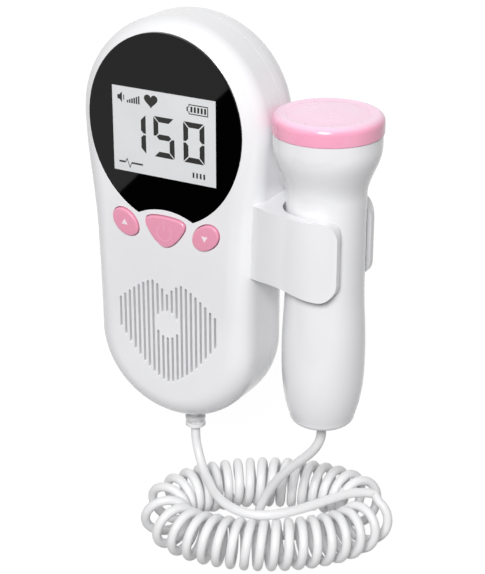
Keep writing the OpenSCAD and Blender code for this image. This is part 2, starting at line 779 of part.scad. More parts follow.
// Least gap between the cord and itself, from each point to the stretches more than half a curl away
function to_stretch(p, a, b) =
    let (d = b - a, t = max(0, min(1, ((p - a) * d) / (d * d)))) norm(p - a - t * d);
far = 5;
coil_gap = min([for (i = [0:bends - 1 - far]) min([for (j = [i + far:bends - 1])
    to_stretch(coil_line[i], coil_line[j], coil_line[j + 1])])]) - cord_d;
echo(least_gap_in_coil = coil_gap);

// Leads, by hand: from the strain relief over the ring, and from the probe down into it
relief_exit = [0, split_y, relief_end_z];
unit_lead = concat(
    [relief_exit, relief_exit - [0, 0, cord_d]],
    [[0.4, -16.8, -118.4], [2.2, -18, -122.4], [5.6, -20.8, -125.8], [10.4, -25, -127.4], [15.6, -30, -127.5],
     [21.6, -34, -127.5], [28.5, -36, -127.5], [35.5, -35, -127.5], [41, -31, -127.5], [45.2, -25.4, -127.5],
     [48.8, -19.2, -127.5], [52, -13, -127.5], [55, -7.6, -127.7], [58, -3.6, -128.4]],
    [coil_start]);
probe_end_z = seam_z - probe_l;
bushing_proud = 0.8;
probe_exit = [probe_x, probe_y, probe_end_z - bushing_proud];
probe_lead = concat(
    [probe_exit, probe_exit - [0, 0, cord_d]],
    [[50.3, -20.5, -101.6], [48.6, -20.3, -105.4], [45.6, -19.8, -109.4], [41.6, -19.1, -113.6],
     [37, -18.4, -118.6], [32, -17.4, -125], [27.8, -16.8, -132.4], [25.6, -17.2, -138.6], [27, -18.6, -143],
     [31.4, -18.2, -145.2], [37.4, -15.4, -145.3], [43, -11.8, -145.3], [47.4, -8, -144.9],
     [50.1, -4, -144.4]],
    [coil_end]);

// Tube along a line: each ring is square to the line there, and the frames turn as little as they can
function way(line, i, first, last) =
    i == 0 ? first
    : i == len(line) - 1 ? last
    : unit(unit(line[i + 1] - line[i]) + unit(line[i] - line[i - 1]));
function square_to(v, t) = unit(v - (v * t) * t);
module tube(line, d, sides, first, last) {
    n = len(line);
    ways = [for (i = [0:n - 1]) way(line, i, first, last)];
    seed = abs(ways[0].z) > 0.9 ? [1, 0, 0] : [0, 0, 1];
    ups = [for (i = 0, u = square_to(seed, ways[0]);
        i < n;
        i = i + 1, u = i < n ? square_to(u, ways[i]) : u) u];
    loft([for (i = [0:n - 1]) let (w = cross(ways[i], ups[i]))
        [for (k = [0:sides - 1]) let (a = 360 * k / sides)
            line[i] + d / 2 * (cos(a) * ups[i] + sin(a) * w)]]);
}

down = [0, 0, -1];
coil_way_in = unit(coil_line[1] - coil_line[0]);
coil_way_out = unit(coil_line[bends + 1] - coil_line[bends]);

module cord_unit_lead() { color(white) tube(unit_lead, cord_d, 8, down, coil_way_in); }
module cord_coil() { color(white) tube(coil_line, cord_d, cord_sides, coil_way_in, coil_way_out); }
module cord_probe_lead() { color(white) tube(probe_lead, cord_d, 8, down, -coil_way_out); }

// Probe: everything turned about its axis, with heights from the seam under the cap
neck_from = 3.7;        // the head starts to narrow this far below the seam
neck_to = 19.5;         // and has narrowed to the waist here
swell_from = 47.2;
swell_to = 72;
end_power = 2.8;
round_steps = 6;
neck_steps = 12;
swell_steps = 8;
end_steps = 14;
function ease(t) = (1 - cos(180 * t)) / 2;
function probe_r(h) =
    h < neck_from ? probe_head_r
    : h < neck_to ? probe_head_r - (probe_head_r - waist_r) * ease((h - neck_from) / (neck_to - neck_from))
    : h < swell_from ? waist_r
    : h < swell_to ? waist_r + (bulge_r - waist_r) * ease((h - swell_from) / (swell_to - swell_from))
    : bulge_r - (bulge_r - probe_end_r - probe_end_round)
        * pow((h - swell_to) / (probe_l - probe_end_round - swell_to), end_power);
function stretch(from, to, n) = [for (i = [1:n]) from + (to - from) * i / n];
probe_levels = concat([0, neck_from], stretch(neck_from, neck_to, neck_steps), [swell_from],
    stretch(swell_from, swell_to, swell_steps), stretch(swell_to, probe_l - probe_end_round, end_steps));
probe_end = [for (i = [1:round_steps]) let (a = 90 * i / round_steps)
    [probe_end_r + probe_end_round * cos(a), -probe_l + probe_end_round * (1 - sin(a))]];

module at_probe(h) { translate([probe_x, probe_y, seam_z - h]) children(); }

spigot_r = probe_head_r - probe_wall;
spigot_l = 4.5;
seat_h = 7.6;           // depth of the wide bore under the cap
bore_r = waist_r - probe_wall;
bore_h = probe_l - 14.4;
end_bore_r = 6.5;
end_bore_h = probe_l - 6.4;
bushing_r = 2.6;
bushing_flange_r = 5;
bushing_flange_t = 1.4;

module probe_body() {
    color(white) at_probe(0) difference() {
        rotate_extrude($fn = 72) polygon(concat([[0, 0]],
            [for (h = probe_levels) [probe_r(h), -h]], probe_end, [[0, -probe_l]]));
        translate([0, 0, -seat_h]) cylinder(r = spigot_r + fit, h = seat_h + past, $fn = 64);
        translate([0, 0, -bore_h]) cylinder(r = bore_r, h = bore_h, $fn = 64);
        translate([0, 0, -end_bore_h]) cylinder(r = end_bore_r, h = end_bore_h, $fn = 48);
        translate([0, 0, -probe_l - past]) cylinder(r = bushing_r + screw_fit, h = probe_l, $fn = 32);
    }
}

crystal_r = 9;
crystal_t = 1;
backing_t = 4.4;
cap_top_t = 2;          // thickness of the cap over the crystals
spigot_wall = 1.4;
cap_edge_r = 2.4;
cap_dome = 0.5;
cap_chamfer = 0.3;
cap_rim_w = 1;          // raised rim round the cap's face
cap_dip = 0.25;         // and how far the face lies below it
crystal_top = cap_h - cap_top_t - cap_dome;

module probe_cap() {
    inner = spigot_r - spigot_wall;
    edge = [for (i = [0:6]) let (a = 90 * i / 6)
        [cap_r - cap_edge_r * (1 - cos(a)), cap_h - cap_dome - cap_edge_r * (1 - sin(a))]];
    face_r = cap_r - cap_edge_r - cap_rim_w - 2 * cap_dip;
    rim_in = [[cap_r - cap_edge_r - cap_rim_w, cap_h - cap_dome], [face_r, cap_h - cap_dome - cap_dip]];
    top = [for (i = [1:4]) [face_r * (1 - i / 5), cap_h - cap_dip - cap_dome * pow(1 - i / 5, 2)]];
    color(pink) at_probe(0) rotate_extrude($fn = 72) polygon(concat(
        [[inner, crystal_top], [inner, -spigot_l], [spigot_r, -spigot_l], [spigot_r, 0],
            [cap_r - cap_chamfer, 0], [cap_r, cap_chamfer]],
        edge, rim_in, top, [[0, cap_h - cap_dip], [0, crystal_top]]));
}

module probe_crystals() {
    saw = 0.6;
    color([0.75, 0.7, 0.55]) at_probe(0) difference() {
        translate([0, 0, crystal_top - crystal_t]) cylinder(r = crystal_r, h = crystal_t, $fn = 48);
        cube([3 * crystal_r, saw, 4 * cap_h], center = true);
    }
}

module crystal_backing() {
    color([0.35, 0.35, 0.38]) at_probe(0) translate([0, 0, crystal_top - crystal_t - backing_t])
        cylinder(r = spigot_r - spigot_wall - fit, h = backing_t, $fn = 48);
}

module probe_board() {
    board_from = 20;
    board_to = bore_h - 2;
    half = sqrt(bore_r * bore_r - board_t * board_t / 4) - fit;
    chips = [[30, 8, 8], [12, 6, 6]];   // height above the board's end, width, length
    chip_t = 1.2;
    color([0.1, 0.4, 0.2]) at_probe(board_to) union() {
        translate([-half, -board_t / 2, 0]) cube([2 * half, board_t, board_to - board_from]);
        for (q = chips) translate([-q[1] / 2, 0, q[0]]) cube([q[1], board_t / 2 + chip_t, q[2]]);
    }
}

module probe_bushing() {
    color([0.9, 0.9, 0.9]) at_probe(end_bore_h) rotate_extrude($fn = 40) polygon([
        [0, 0 - (probe_l - end_bore_h) - bushing_proud], [bushing_r, -(probe_l - end_bore_h) - bushing_proud],
        [bushing_r, 0], [bushing_flange_r, 0], [bushing_flange_r, bushing_flange_t], [0, bushing_flange_t]]);
}

front_shell();
back_shell();
battery_cover();
display_window();
lcd_panel();
lcd_frame();
power_button();
volume_up_button();
volume_down_button();
button_membrane();
main_board();
tact_switches();
speaker();
speaker_gasket();
battery_cells();
battery_contacts();
case_screws();
board_screws();
probe_clip();
clip_screws();
strain_relief();
cord_unit_lead();
cord_coil();
cord_probe_lead();
probe_body();
probe_cap();
probe_crystals();
crystal_backing();
probe_board();
probe_bushing();
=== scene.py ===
"""Pocket fetal doppler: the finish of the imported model. Lengths are in millimetres and scaled by MM."""
import math

import bmesh
import bpy
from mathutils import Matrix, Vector


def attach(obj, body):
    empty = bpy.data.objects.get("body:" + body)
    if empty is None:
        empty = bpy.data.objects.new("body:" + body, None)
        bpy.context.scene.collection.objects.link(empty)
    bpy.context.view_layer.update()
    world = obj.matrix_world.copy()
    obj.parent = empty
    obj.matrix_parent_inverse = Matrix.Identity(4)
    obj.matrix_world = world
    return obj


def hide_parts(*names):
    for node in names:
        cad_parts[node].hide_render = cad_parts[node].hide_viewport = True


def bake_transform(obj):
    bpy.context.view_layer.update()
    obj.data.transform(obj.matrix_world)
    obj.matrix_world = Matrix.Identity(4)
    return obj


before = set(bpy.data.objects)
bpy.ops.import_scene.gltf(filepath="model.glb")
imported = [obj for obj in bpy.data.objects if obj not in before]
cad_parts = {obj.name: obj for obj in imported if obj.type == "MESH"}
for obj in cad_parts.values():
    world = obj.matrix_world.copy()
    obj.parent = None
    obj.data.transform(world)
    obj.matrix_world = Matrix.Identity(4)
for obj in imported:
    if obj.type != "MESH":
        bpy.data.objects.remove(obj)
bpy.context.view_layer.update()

MM = 0.001

# ---- driving sizes
# They are those of the part's source, but for the case below its head, the keys, the slots and the ends
# of the clip, which follow the photograph a little closer.
HEAD_W, BODY_W = 66.6, 58.6         # the case's round head, and the body below it
BODY_DROP, FOOT_H = 74.2, 28.1      # the head's centre to the bottom curve, and that curve's height
NECK_L, NECK_SHARE = 40.0, 0.6      # the quick part of the narrowing: its length and its share
CASE_D, FRONT_R, BACK_R = 33.2, 8.3, 14.4
WALL, SEAM = 2.4, 0.05              # wall of both shells, and the chamfer where they meet
FRONT_Y, SPLIT_Y = -CASE_D, -CASE_D / 2
FOOT_Z = -BODY_DROP - FOOT_H

WINDOW_W, WINDOW_UP, WINDOW_DOWN, WINDOW_T = 55.8, 29.4, 32.3, 1.4
NOTCH_W, NOTCH_RISE = 20.2, 2.4     # the window's arch above the power key
VIEW_W, VIEW_H, VIEW_DROP = 37.8, 27.8, 3.0
KEY_DROP, KEY_X, KEY_L, KEY_W, KEY_TILT = 34.1, 15.0, 10.6, 7.7, 39.0
POWER_DROP, POWER_W, POWER_H = 34.9, 14.8, 10.3
PROUD, KEY_GAP = 0.9, 0.2           # how far a key stands out, and the gap round it
HEART_DROP, SLOT_PITCH, SLOT_W, SLOTS = 70.0, 1.81, 0.85, 10    # SLOTS to each side of the middle one
DISC_R, DISC_UP = 4.4, 2.5          # the plain disc in the heart, and its rise above the heart's centre

BAY_W, BAY_H, BAY_Z, BAY_DEPTH, BAY_WALL = 31.0, 55.0, -52.5, 16.9, 1.4
COVER_T, COVER_LAP, COVER_CORNER, COVER_GAP = 2.0, 2.0, 5.0, 0.1
COVER_TOP = BAY_Z + BAY_H / 2 + COVER_LAP
LATCH_W, LATCH_H, LATCH_L, LATCH_Z, LATCH_GAP = 9.0, 1.2, 4.0, COVER_TOP - 0.7, 0.2
SCREW_AT = [(-13, 22), (13, 22), (-14, -90), (14, -90)]
SCREW_SEAT_Y, SCREW_HEAD_R, SCREW_HEAD_T, BOSS_R = -8.0, 2.5, 1.6, 3.8

PROBE_X, PROBE_Y, SEAM_Z, PROBE_L = 50.7, -20.6, 3.1, 97.1
HEAD_R, WAIST_R, BULGE_R, END_R, END_ROUND = 16.7, 12.4, 13.3, 8.2, 2.3
HEAD_TO, WAIST_FROM, WAIST_TO, BULGE_AT = 3.7, 19.5, 47.2, 72.0     # heights below the seam
CAP_R, CAP_H = 17.1, 6.1
BUSHING_R, BUSHING_PROUD = 2.6, 0.8
CLIP_DROP, CLIP_H, CLIP_T, CLIP_GAP, MOUTH_A, CLIP_CORNER = 20.7, 25.7, 3.0, 0.1, 46.0, 6.0
CORD_D, CURL_D = 3.2, 17.6
FLOOR_Z = -147.0
RELIEF_L, RELIEF_R = 9.3, 3.45
RELIEF_OUT_Z = FOOT_Z - 0.1
RELIEF_END_Z = RELIEF_OUT_Z - RELIEF_L

PAST = 1.0          # how far a cutter reaches past what it cuts
SKIN_PAST = 0.8     # how far a skin's end ring lies past its rounding, on the flat
FRONT_STEPS, BACK_STEPS, INNER_STEPS = 14, 16, 8    # facets of the case's roundings


# ---- camera
EYE, LOOK_AT = Vector((256.44, -428.36, 147.71)), Vector((28.28, -33.2, -47.9))
LIT_POINT = Vector((0.03, -0.02, -0.04))    # the lamps look at it; in metres, as is their distance
# the slanting line in the window's gloss in X and Z, and a place on its dark side
GLOSS_FROM, GLOSS_TO, GLOSS_DARK = (-17.8, -25.1), (24.0, 16.1), (20, -20)


def make_camera():
    data = bpy.data.cameras.new("camera")
    data.lens = 99.47
    data.sensor_width = 36.0
    camera = bpy.data.objects.new("camera", data)
    bpy.context.scene.collection.objects.link(camera)
    camera.location = EYE * MM
    camera.rotation_mode = "QUATERNION"
    camera.rotation_quaternion = (LOOK_AT - EYE).to_track_quat("-Z", "Y")
    bpy.context.scene.camera = camera


# ---- materials
def srgb(*levels):
    """A colour written as it looks, 0 to 255, as the light values that a shader takes."""
    linear = [c / 255 / 12.92 if c <= 10 else ((c / 255 + 0.055) / 1.055) ** 2.4 for c in levels]
    return (*linear, 1.0)


def colour_mix(nodes, links, factor, first, second):
    """A Mix node's colour: the first where the factor is 0, the second where it is 1."""
    node = nodes.new("ShaderNodeMix")
    node.data_type = "RGBA"
    first_socket, second_socket, colour_out = 6, 7, 2
    node.inputs[first_socket].default_value = first
    node.inputs[second_socket].default_value = second
    links.new(factor, node.inputs[0])
    return node.outputs[colour_out]


def put(node, **values):
    """Sets a node's inputs by name, with _ for a blank."""
    for name, value in values.items():
        node.inputs[name.replace("_", " ")].default_value = value


def node_material(name):
    material = bpy.data.materials.new(name)
    material.use_nodes = True
    return material, material.node_tree.nodes, material.node_tree.links


class Shader:
    """A Principled material; tone, roughness and relief come from noise on the object's coordinates."""

    def __init__(self, name):
        self.material, self.nodes, self.links = node_material(name)
        self.out = self.nodes["Principled BSDF"]
        self.where = self.nodes.new("ShaderNodeTexCoord").outputs["Object"]

    def set(self, **values):
        put(self.out, **values)
        return self

    def noise(self, per_mm, detail=3.0):
        node = self.nodes.new("ShaderNodeTexNoise")
        put(node, Scale=per_mm / MM, Detail=detail)
        self.links.new(self.where, node.inputs["Vector"])
        return node.outputs["Fac"]

    def span(self, value, low, high, from_low=0.3, from_high=0.7):
        node = self.nodes.new("ShaderNodeMapRange")
        put(node, From_Min=from_low, From_Max=from_high, To_Min=low, To_Max=high)
        self.links.new(value, node.inputs["Value"])
        return node.outputs["Result"]

    def tone(self, factor, first, second):
        mixed = colour_mix(self.nodes, self.links, factor, first, second)
        self.links.new(mixed, self.out.inputs["Base Color"])
        return self

    def rough(self, factor, low, high):
        self.links.new(self.span(factor, low, high), self.out.inputs["Roughness"])
        return self

    def relief(self, height, depth_mm):
        node = self.nodes.new("ShaderNodeBump")
        put(node, Distance=depth_mm * MM, Strength=0.5)
        self.links.new(height, node.inputs["Height"])
        self.links.new(node.outputs["Normal"], self.out.inputs["Normal"])
        return self


def shade(colour, factor):
    return (*[c * factor for c in colour[:3]], 1.0)


def plastic(name, colour, roughness, coat=0.0, grain=6.0, depth=0.004, mottle=0.03, specular=0.5):
    """Moulded plastic: a faint flow mottle, a roughness that wanders and a fine skin."""
    make = Shader(name).set(IOR=1.46, Specular_IOR_Level=specular, Coat_Weight=coat, Coat_Roughness=0.04)
    make.tone(make.span(make.noise(0.04), 0, 1), shade(colour, 1 - mottle), colour)
    make.rough(make.noise(0.15), roughness * 0.85, roughness * 1.15)
    return make.relief(make.noise(grain, 2.0), depth).material


def cap_plastic_painted_light(name, side, top, painted_light_from, painted_light_to):
    """The cap's pink with painted light: the colour pales from its rim up to its face, as if the face were
    lit from above.
    """
    make = Shader(name).set(IOR=1.46, Coat_Weight=0.25, Coat_Roughness=0.05)
    split = make.nodes.new("ShaderNodeSeparateXYZ")
    make.links.new(make.where, split.inputs["Vector"])
    # painted light: height alone blends the rim's pink into the paler pink of the lit face
    rise = make.span(split.outputs["Z"], 0, 1, painted_light_from * MM, painted_light_to * MM)
    make.tone(rise, side, top)
    make.rough(make.noise(0.15), 0.2, 0.3)
    return make.relief(make.noise(6.0, 2.0), 0.003).material


def metal(name, colour, roughness, scratch=2.5):
    make = Shader(name).set(Metallic=1.0)
    make.tone(make.span(make.noise(0.3), 0, 1), shade(colour, 0.85), colour)
    make.rough(make.noise(scratch), roughness * 0.7, roughness * 1.4)
    return make.relief(make.noise(scratch, 4.0), 0.004).material


def rubber(name, colour, roughness, grain=3.0, depth=0.02, mottle=0.06):
    make = Shader(name).set(IOR=1.5)
    make.tone(make.span(make.noise(0.2), 0, 1), shade(colour, 1 - mottle), colour)
    make.rough(make.noise(0.4), roughness * 0.85, roughness * 1.1)
    return make.relief(make.noise(grain, 3.0), depth).material


def board_green(name):
    """Lacquered board: green with a darker net of tracks."""
    make = Shader(name).set(Coat_Weight=0.4, Coat_Roughness=0.1)
    cells = make.nodes.new("ShaderNodeTexVoronoi")
    cells.distance = "MANHATTAN"
    put(cells, Scale=0.4 / MM)
    make.links.new(make.where, cells.inputs["Vector"])
    make.tone(make.span(cells.outputs["Distance"], 0, 1, 0.2, 0.5), srgb(22, 96, 52), srgb(12, 66, 36))
    make.rough(make.noise(0.5), 0.35, 0.5)
    return make.relief(cells.outputs["Distance"], 0.02).material


def display_grey(name):
    """Liquid crystal face: pale grey, lit a little from behind, with the cells' fine grain."""
    make = Shader(name).set(IOR=1.5, Specular_IOR_Level=0.2)
    make.set(Emission_Color=srgb(224, 224, 225), Emission_Strength=0.12)
    make.tone(make.span(make.noise(0.08), 0, 1), srgb(206, 207, 209), srgb(212, 213, 214))
    make.rough(make.noise(0.2), 0.3, 0.36)
    return make.relief(make.noise(9.0, 1.0), 0.002).material


WHITE = plastic("white_gloss", srgb(240, 240, 242), 0.22, coat=0.35)
LENS = plastic("black_lens", srgb(2, 2, 2), 0.035, grain=0.5, depth=0.0005, mottle=0.2, specular=0.27)
PINK = plastic("pink_keys", srgb(238, 158, 184), 0.3, coat=0.15)
# the cap's rim pink, and the paler pink of its face, which is painted light from above
CAP_PINK_PAINTED_LIGHT = cap_plastic_painted_light("pink_cap_painted_light", srgb(250, 170, 198), srgb(254, 214, 236),
                       SEAM_Z + CAP_H - 1.5, SEAM_Z + CAP_H - 0.2)
KEY_MARK = plastic("key_mark_white", srgb(246, 232, 238), 0.35)
POWER_MARK = plastic("power_mark_pink", srgb(240, 170, 196), 0.35)
DISPLAY = display_grey("display_grey")
SEGMENT = plastic("display_segment", srgb(34, 34, 32), 0.45, depth=0.001)
CORD = plastic("cord_white", srgb(240, 240, 241), 0.34, coat=0.1, grain=4.0, depth=0.006)
RUBBER = rubber("grey_rubber", srgb(92, 92, 94), 0.75)
FOAM = rubber("foam_grey", srgb(120, 120, 122), 0.9, grain=5.0, depth=0.08)
CONE = metal("speaker_metal", srgb(120, 120, 124), 0.45)
STEEL = metal("plated_steel", srgb(206, 206, 203), 0.22)
CELL = metal("cell_sleeve", srgb(124, 138, 158), 0.35)
BOARD = board_green("circuit_board")
BLACK = plastic("black_plastic", srgb(34, 34, 35), 0.5)
INNER = plastic("light_plastic", srgb(228, 228, 224), 0.5)
CRYSTAL = rubber("crystal_ceramic", srgb(200, 190, 160), 0.6)


# ---- solids: each is (points, faces)
def loft(rings):
    """Closed solid through rings of the same number of points."""
    n, last = len(rings[0]), (len(rings) - 1) * len(rings[0])
    faces = [list(range(n)), [last + i for i in reversed(range(n))]]
    for k in range(len(rings) - 1):
        for i in range(n):
            a, b = k * n + i, k * n + (i + 1) % n
            faces.append([a, a + n, b + n, b])
    return [p for ring in rings for p in ring], faces


def prism(outline, y0, y1):
    """A shape drawn in X and Z, made solid from y0 to y1."""
    return loft([[(x, y, z) for x, z in outline] for y in (y0, y1)])


def prism_z(outline, z0, z1):
    """A shape drawn in X and Y, made solid from z0 to z1."""
    return loft([[(x, y, z) for x, y in outline] for z in (z0, z1)])


def bar(x0, z0, x1, z1):
    """Outline of an upright rectangle in X and Z."""
    return [(x0, z0), (x1, z0), (x1, z1), (x0, z1)]


def block(low, high):
    """A box between two corners."""
    return prism(bar(low[0], low[2], high[0], high[2]), low[1], high[1])


def lathe(profile, place, steps):
    """Closed solid turned from (radius, height) points that start and end on the axis."""
    points, faces, rows = [], [], []
    for r, h in profile:
        count = steps if r > 0 else 1
        rows.append([len(points) + i for i in range(count)])
        for i in range(count):
            a = math.tau * i / steps
            points.append(place(r * math.cos(a), r * math.sin(a), h))
    for a, b in zip(rows, rows[1:]):
        for i in range(steps):
            j = (i + 1) % steps
            face = [a[i % len(a)], a[j % len(a)], b[j % len(b)], b[i % len(b)]]
            faces.append(list(dict.fromkeys(face)))
    return points, faces


def along_y(x, z):
    """Places a lathe's points round the line along Y through x and z."""
    return lambda u, v, h: (x + u, h, z + v)


def on_split(u, v, h):
    """Places a lathe's points round the upright line in the middle of the split."""
    return u, SPLIT_Y + v, h


def rod(x, z, r, y0, y1):
    """A round rod along Y."""
    return lathe([(0, y0), (r, y0), (r, y1), (0, y1)], along_y(x, z), 48)


def join(*solids):
    points, faces = [], []
    for p, f in solids:
        faces += [[i + len(points) for i in face] for face in f]
        points += p
    return points, faces


def quarter_turn(steps, first=0):
    """Angles from 0 to a quarter turn."""
    return [math.pi / 2 * i / steps for i in range(first, steps + 1)]


def arc(cx, cz, r, a0, a1, steps):
    return [(cx + r * math.cos(math.radians(a0 + (a1 - a0) * i / steps)),
             cz + r * math.sin(math.radians(a0 + (a1 - a0) * i / steps))) for i in range(steps + 1)]


def thing(name, solid):
    """An object from a solid, with its faces turned outwards."""
    points, faces = solid
    mesh = bpy.data.meshes.new(name)
    mesh.from_pydata([[c * MM for c in p] for p in points], [], faces)
    work = bmesh.new()
    work.from_mesh(mesh)
    bmesh.ops.recalc_face_normals(work, faces=work.faces)
    work.to_mesh(mesh)
    work.free()
    made = bpy.data.objects.new(name, mesh)
    bpy.context.scene.collection.objects.link(made)
    return made


def bake(piece):
    """Turns an object's modifiers into its mesh."""
    shape = bpy.data.meshes.new_from_object(piece.evaluated_get(bpy.context.evaluated_depsgraph_get()))
    piece.modifiers.clear()
    piece.data = shape


def taken(source):
    """The solid of an object, which is then removed."""
    points = [tuple(v.co / MM) for v in source.data.vertices]
    faces = [list(p.vertices) for p in source.data.polygons]
    bpy.data.objects.remove(source)
    return points, faces


def carve(target, solid, operation="DIFFERENCE"):
    """Cuts a solid out of an object, adds it, or keeps what both share."""
    tool = thing("tool", solid)
    step = target.modifiers.new("carve", "BOOLEAN")
    step.operation = operation
    step.solver = "EXACT"
    step.object = tool
    bake(target)
    bpy.data.objects.remove(tool)


def finish_piece(piece, material, body, slot, *nodes, sharp=32.0, weighted=True):
    """Shades a piece, gives it its material, hides the nodes it stands for, and ties it to its body."""
    piece.data.materials.clear()
    piece.data.materials.append(material)
    piece.data.shade_smooth()
    piece.data.set_sharp_from_angle(angle=math.radians(sharp))
    if weighted:
        step = piece.modifiers.new("even_normals", "WEIGHTED_NORMAL")
        step.keep_sharp = True
    if nodes:
        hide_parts(*nodes)
    if body:
        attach(piece, body)


# ---- cords, first of the pieces
def unit_vector(v):
    return v / v.length


def smooth_line(points, steps):
    """A smooth line through points, with that many steps from each to the next."""
    ends = [points[0] * 2 - points[1], *points, points[-1] * 2 - points[-2]]
    line = []
    for p0, p1, p2, p3 in zip(ends, ends[1:], ends[2:], ends[3:]):
        for i in range(steps):
            t = i / steps
            line.append(0.5 * (2 * p1 + (p2 - p0) * t + (2 * p0 - 5 * p1 + 4 * p2 - p3) * t * t
                               + (3 * p1 - p0 - 3 * p2 + p3) * t ** 3))
    return line + [points[-1]]


def tube(line, diameter, sides, first, last):
    """Closed tube that starts along first and ends along last; its rings turn as little as they can."""
    count = len(line)
    ways = [unit_vector(line[min(i + 1, count - 1)] - line[max(i - 1, 0)]) for i in range(count)]
    ways[0], ways[-1] = first, last
    up = Vector((1, 0, 0)) if abs(ways[0].z) > 0.9 else Vector((0, 0, 1))
    rings = []
    for point, way in zip(line, ways):
        up = unit_vector(up - way * up.dot(way))
        across = way.cross(up)
        rings.append([tuple(point + (up * math.cos(a) + across * math.sin(a)) * diameter / 2)
                      for a in (math.tau * k / sides for k in range(sides))])
    return loft(rings)


RING_AT = Vector((28.5, -16.6))
RING_LONG, RING_SHORT, RING_TURN, RING_FROM, RING_SPAN, CURLS = 34.8, 20.6, 30.0, -8.0, 348.0, 35
START_PHASE, END_PHASE = 60.0, 225.0
CURL_R = (CURL_D - CORD_D) / 2
CURL_Z = FLOOR_Z + CURL_D / 2


def oval(angle, inset):
    """A point of the ring's oval, and of the line that lies inset inside it."""
    a, turn = math.radians(angle), math.radians(RING_TURN)
    u, v = Vector((math.cos(turn), math.sin(turn))), Vector((-math.sin(turn), math.cos(turn)))
    out = unit_vector(u * math.cos(a) / RING_LONG + v * math.sin(a) / RING_SHORT)
    return RING_AT + u * RING_LONG * math.cos(a) + v * RING_SHORT * math.sin(a) - out * inset


def curl_line(steps_a_curl):
    """The curly cord's helix round its oval, evenly pitched along the inner side, with straight ends."""
    arc_steps = 180
    angles = [RING_FROM - RING_SPAN * i / arc_steps for i in range(arc_steps + 1)]
    run = [0.0]
    for a, b in zip(angles, angles[1:]):
        run.append(run[-1] + (oval(b, CURL_R) - oval(a, CURL_R)).length)

    def angle_at(length):
        k = next((i for i, s in enumerate(run) if s >= length), arc_steps)
        k = max(k, 1)
        share = (length - run[k - 1]) / (run[k] - run[k - 1])
        return angles[k - 1] + (angles[k] - angles[k - 1]) * share

    def curl_point(turn):
        phase = math.radians(START_PHASE - 360 * turn)
        flat = oval(angle_at(turn / CURLS * run[-1]), -CURL_R * math.cos(phase))
        return Vector((flat.x, flat.y, CURL_Z + CURL_R * math.sin(phase)))

    last_turn = CURLS - 1 + (START_PHASE - END_PHASE + 360) / 360
    steps = int(last_turn * steps_a_curl + 1e-6)
    bends = [curl_point(i / steps_a_curl) for i in range(steps + 1)]
    # the part's own cord bends eight times a curl, and its straight ends follow the first and last bend
    bend = 1 / 8
    way_in = unit_vector(curl_point(bend) - curl_point(0))
    final = math.floor(last_turn / bend) * bend
    way_out = unit_vector(curl_point(final) - curl_point(final - bend))
    return [bends[0] - way_in * CORD_D, *bends, curl_point(final) + way_out * CORD_D]


# points laid over the photograph, as in the part's source
UNIT_ROUTE = [
    (0.4, -16.8, -118.4), (2.2, -18, -122.4), (5.6, -20.8, -125.8), (10.4, -25, -127.4),
    (15.6, -30, -127.5), (21.6, -34, -127.5), (28.5, -36, -127.5), (35.5, -35, -127.5),
    (41, -31, -127.5), (45.2, -25.4, -127.5), (48.8, -19.2, -127.5), (52, -13, -127.5),
    (55, -7.6, -127.7), (58, -3.6, -128.4)]
PROBE_ROUTE = [
    (50.3, -20.5, -101.6), (48.6, -20.3, -105.4), (45.6, -19.8, -109.4), (41.6, -19.1, -113.6),
    (37, -18.4, -118.6), (32, -17.4, -125), (27.8, -16.8, -132.4), (25.6, -17.2, -138.6),
    (27, -18.6, -143), (31.4, -18.2, -145.2), (37.4, -15.4, -145.3), (43, -11.8, -145.3),
    (47.4, -8, -144.9), (50.1, -4, -144.4)]


def make_cords():
    coil = curl_line(32)
    relief_exit = Vector((0, SPLIT_Y, RELIEF_END_Z))
    probe_exit = Vector((PROBE_X, PROBE_Y, SEAM_Z - PROBE_L - BUSHING_PROUD))
    down = Vector((0, 0, -1))
    unit_route = [relief_exit, relief_exit + down * CORD_D, *map(Vector, UNIT_ROUTE), coil[0]]
    probe_route = [probe_exit, probe_exit + down * CORD_D, *map(Vector, PROBE_ROUTE), coil[-1]]
    into, out_of = unit_vector(coil[1] - coil[0]), unit_vector(coil[-1] - coil[-2])
    cords = [
        ("lead_from_unit", smooth_line(unit_route, 4), 16, "cord_unit_lead", "unit", "loose", down, into),
        ("curly_cord", coil, 12, "cord_coil", "unit", "coiled", into, out_of),
        ("lead_from_probe", smooth_line(probe_route, 4), 16, "cord_probe_lead", None, "loose", down,
         -out_of)]
    for name, line, sides, node, body, lay, first, last in cords:
        piece = thing(name, tube(line, CORD_D, sides, first, last))
        finish_piece(piece, CORD, body, "white_cord", node, sharp=60.0, weighted=False)
        if body is None:
            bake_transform(piece)


# ---- the case
def half_w(z):
    """Half width below the head's centre: it narrows quickly under the head, then slowly."""
    def left(length):
        return (1 + math.cos(math.pi * min(1.0, -z / length))) / 2

    share = NECK_SHARE * left(NECK_L) + (1 - NECK_SHARE) * left(BODY_DROP)
    return BODY_W / 2 + (HEAD_W - BODY_W) / 2 * share


def case_outline():
    """Outline of the case in X and Z, from the bottom up its left side and down again."""
    foot_steps, body_steps, head_steps = 40, 40, 44
    foot = [(BODY_W / 2 * math.cos(a), -BODY_DROP + FOOT_H * math.sin(a))
            for a in (math.radians(270 - 90 * i / foot_steps) for i in range(foot_steps + 1))]
    body = [(-half_w(z), z)
            for z in (-BODY_DROP * i / body_steps for i in range(body_steps - 1, 0, -1))]
    head = [(HEAD_W / 2 * math.cos(a), HEAD_W / 2 * math.sin(a))
            for a in (math.radians(180 - 90 * i / head_steps) for i in range(head_steps + 1))]
    left = foot + body + head
    return left + [(-x, z) for x, z in left[-2:0:-1]]


OUTLINE = case_outline()


def outward(i):
    """The outline's outward direction at its point i."""
    (x0, z0), (x1, z1) = OUTLINE[i - 1], OUTLINE[(i + 1) % len(OUTLINE)]
    size = math.hypot(x1 - x0, z1 - z0)
    return (z0 - z1) / size, (x1 - x0) / size


NORMALS = [outward(i) for i in range(len(OUTLINE))]


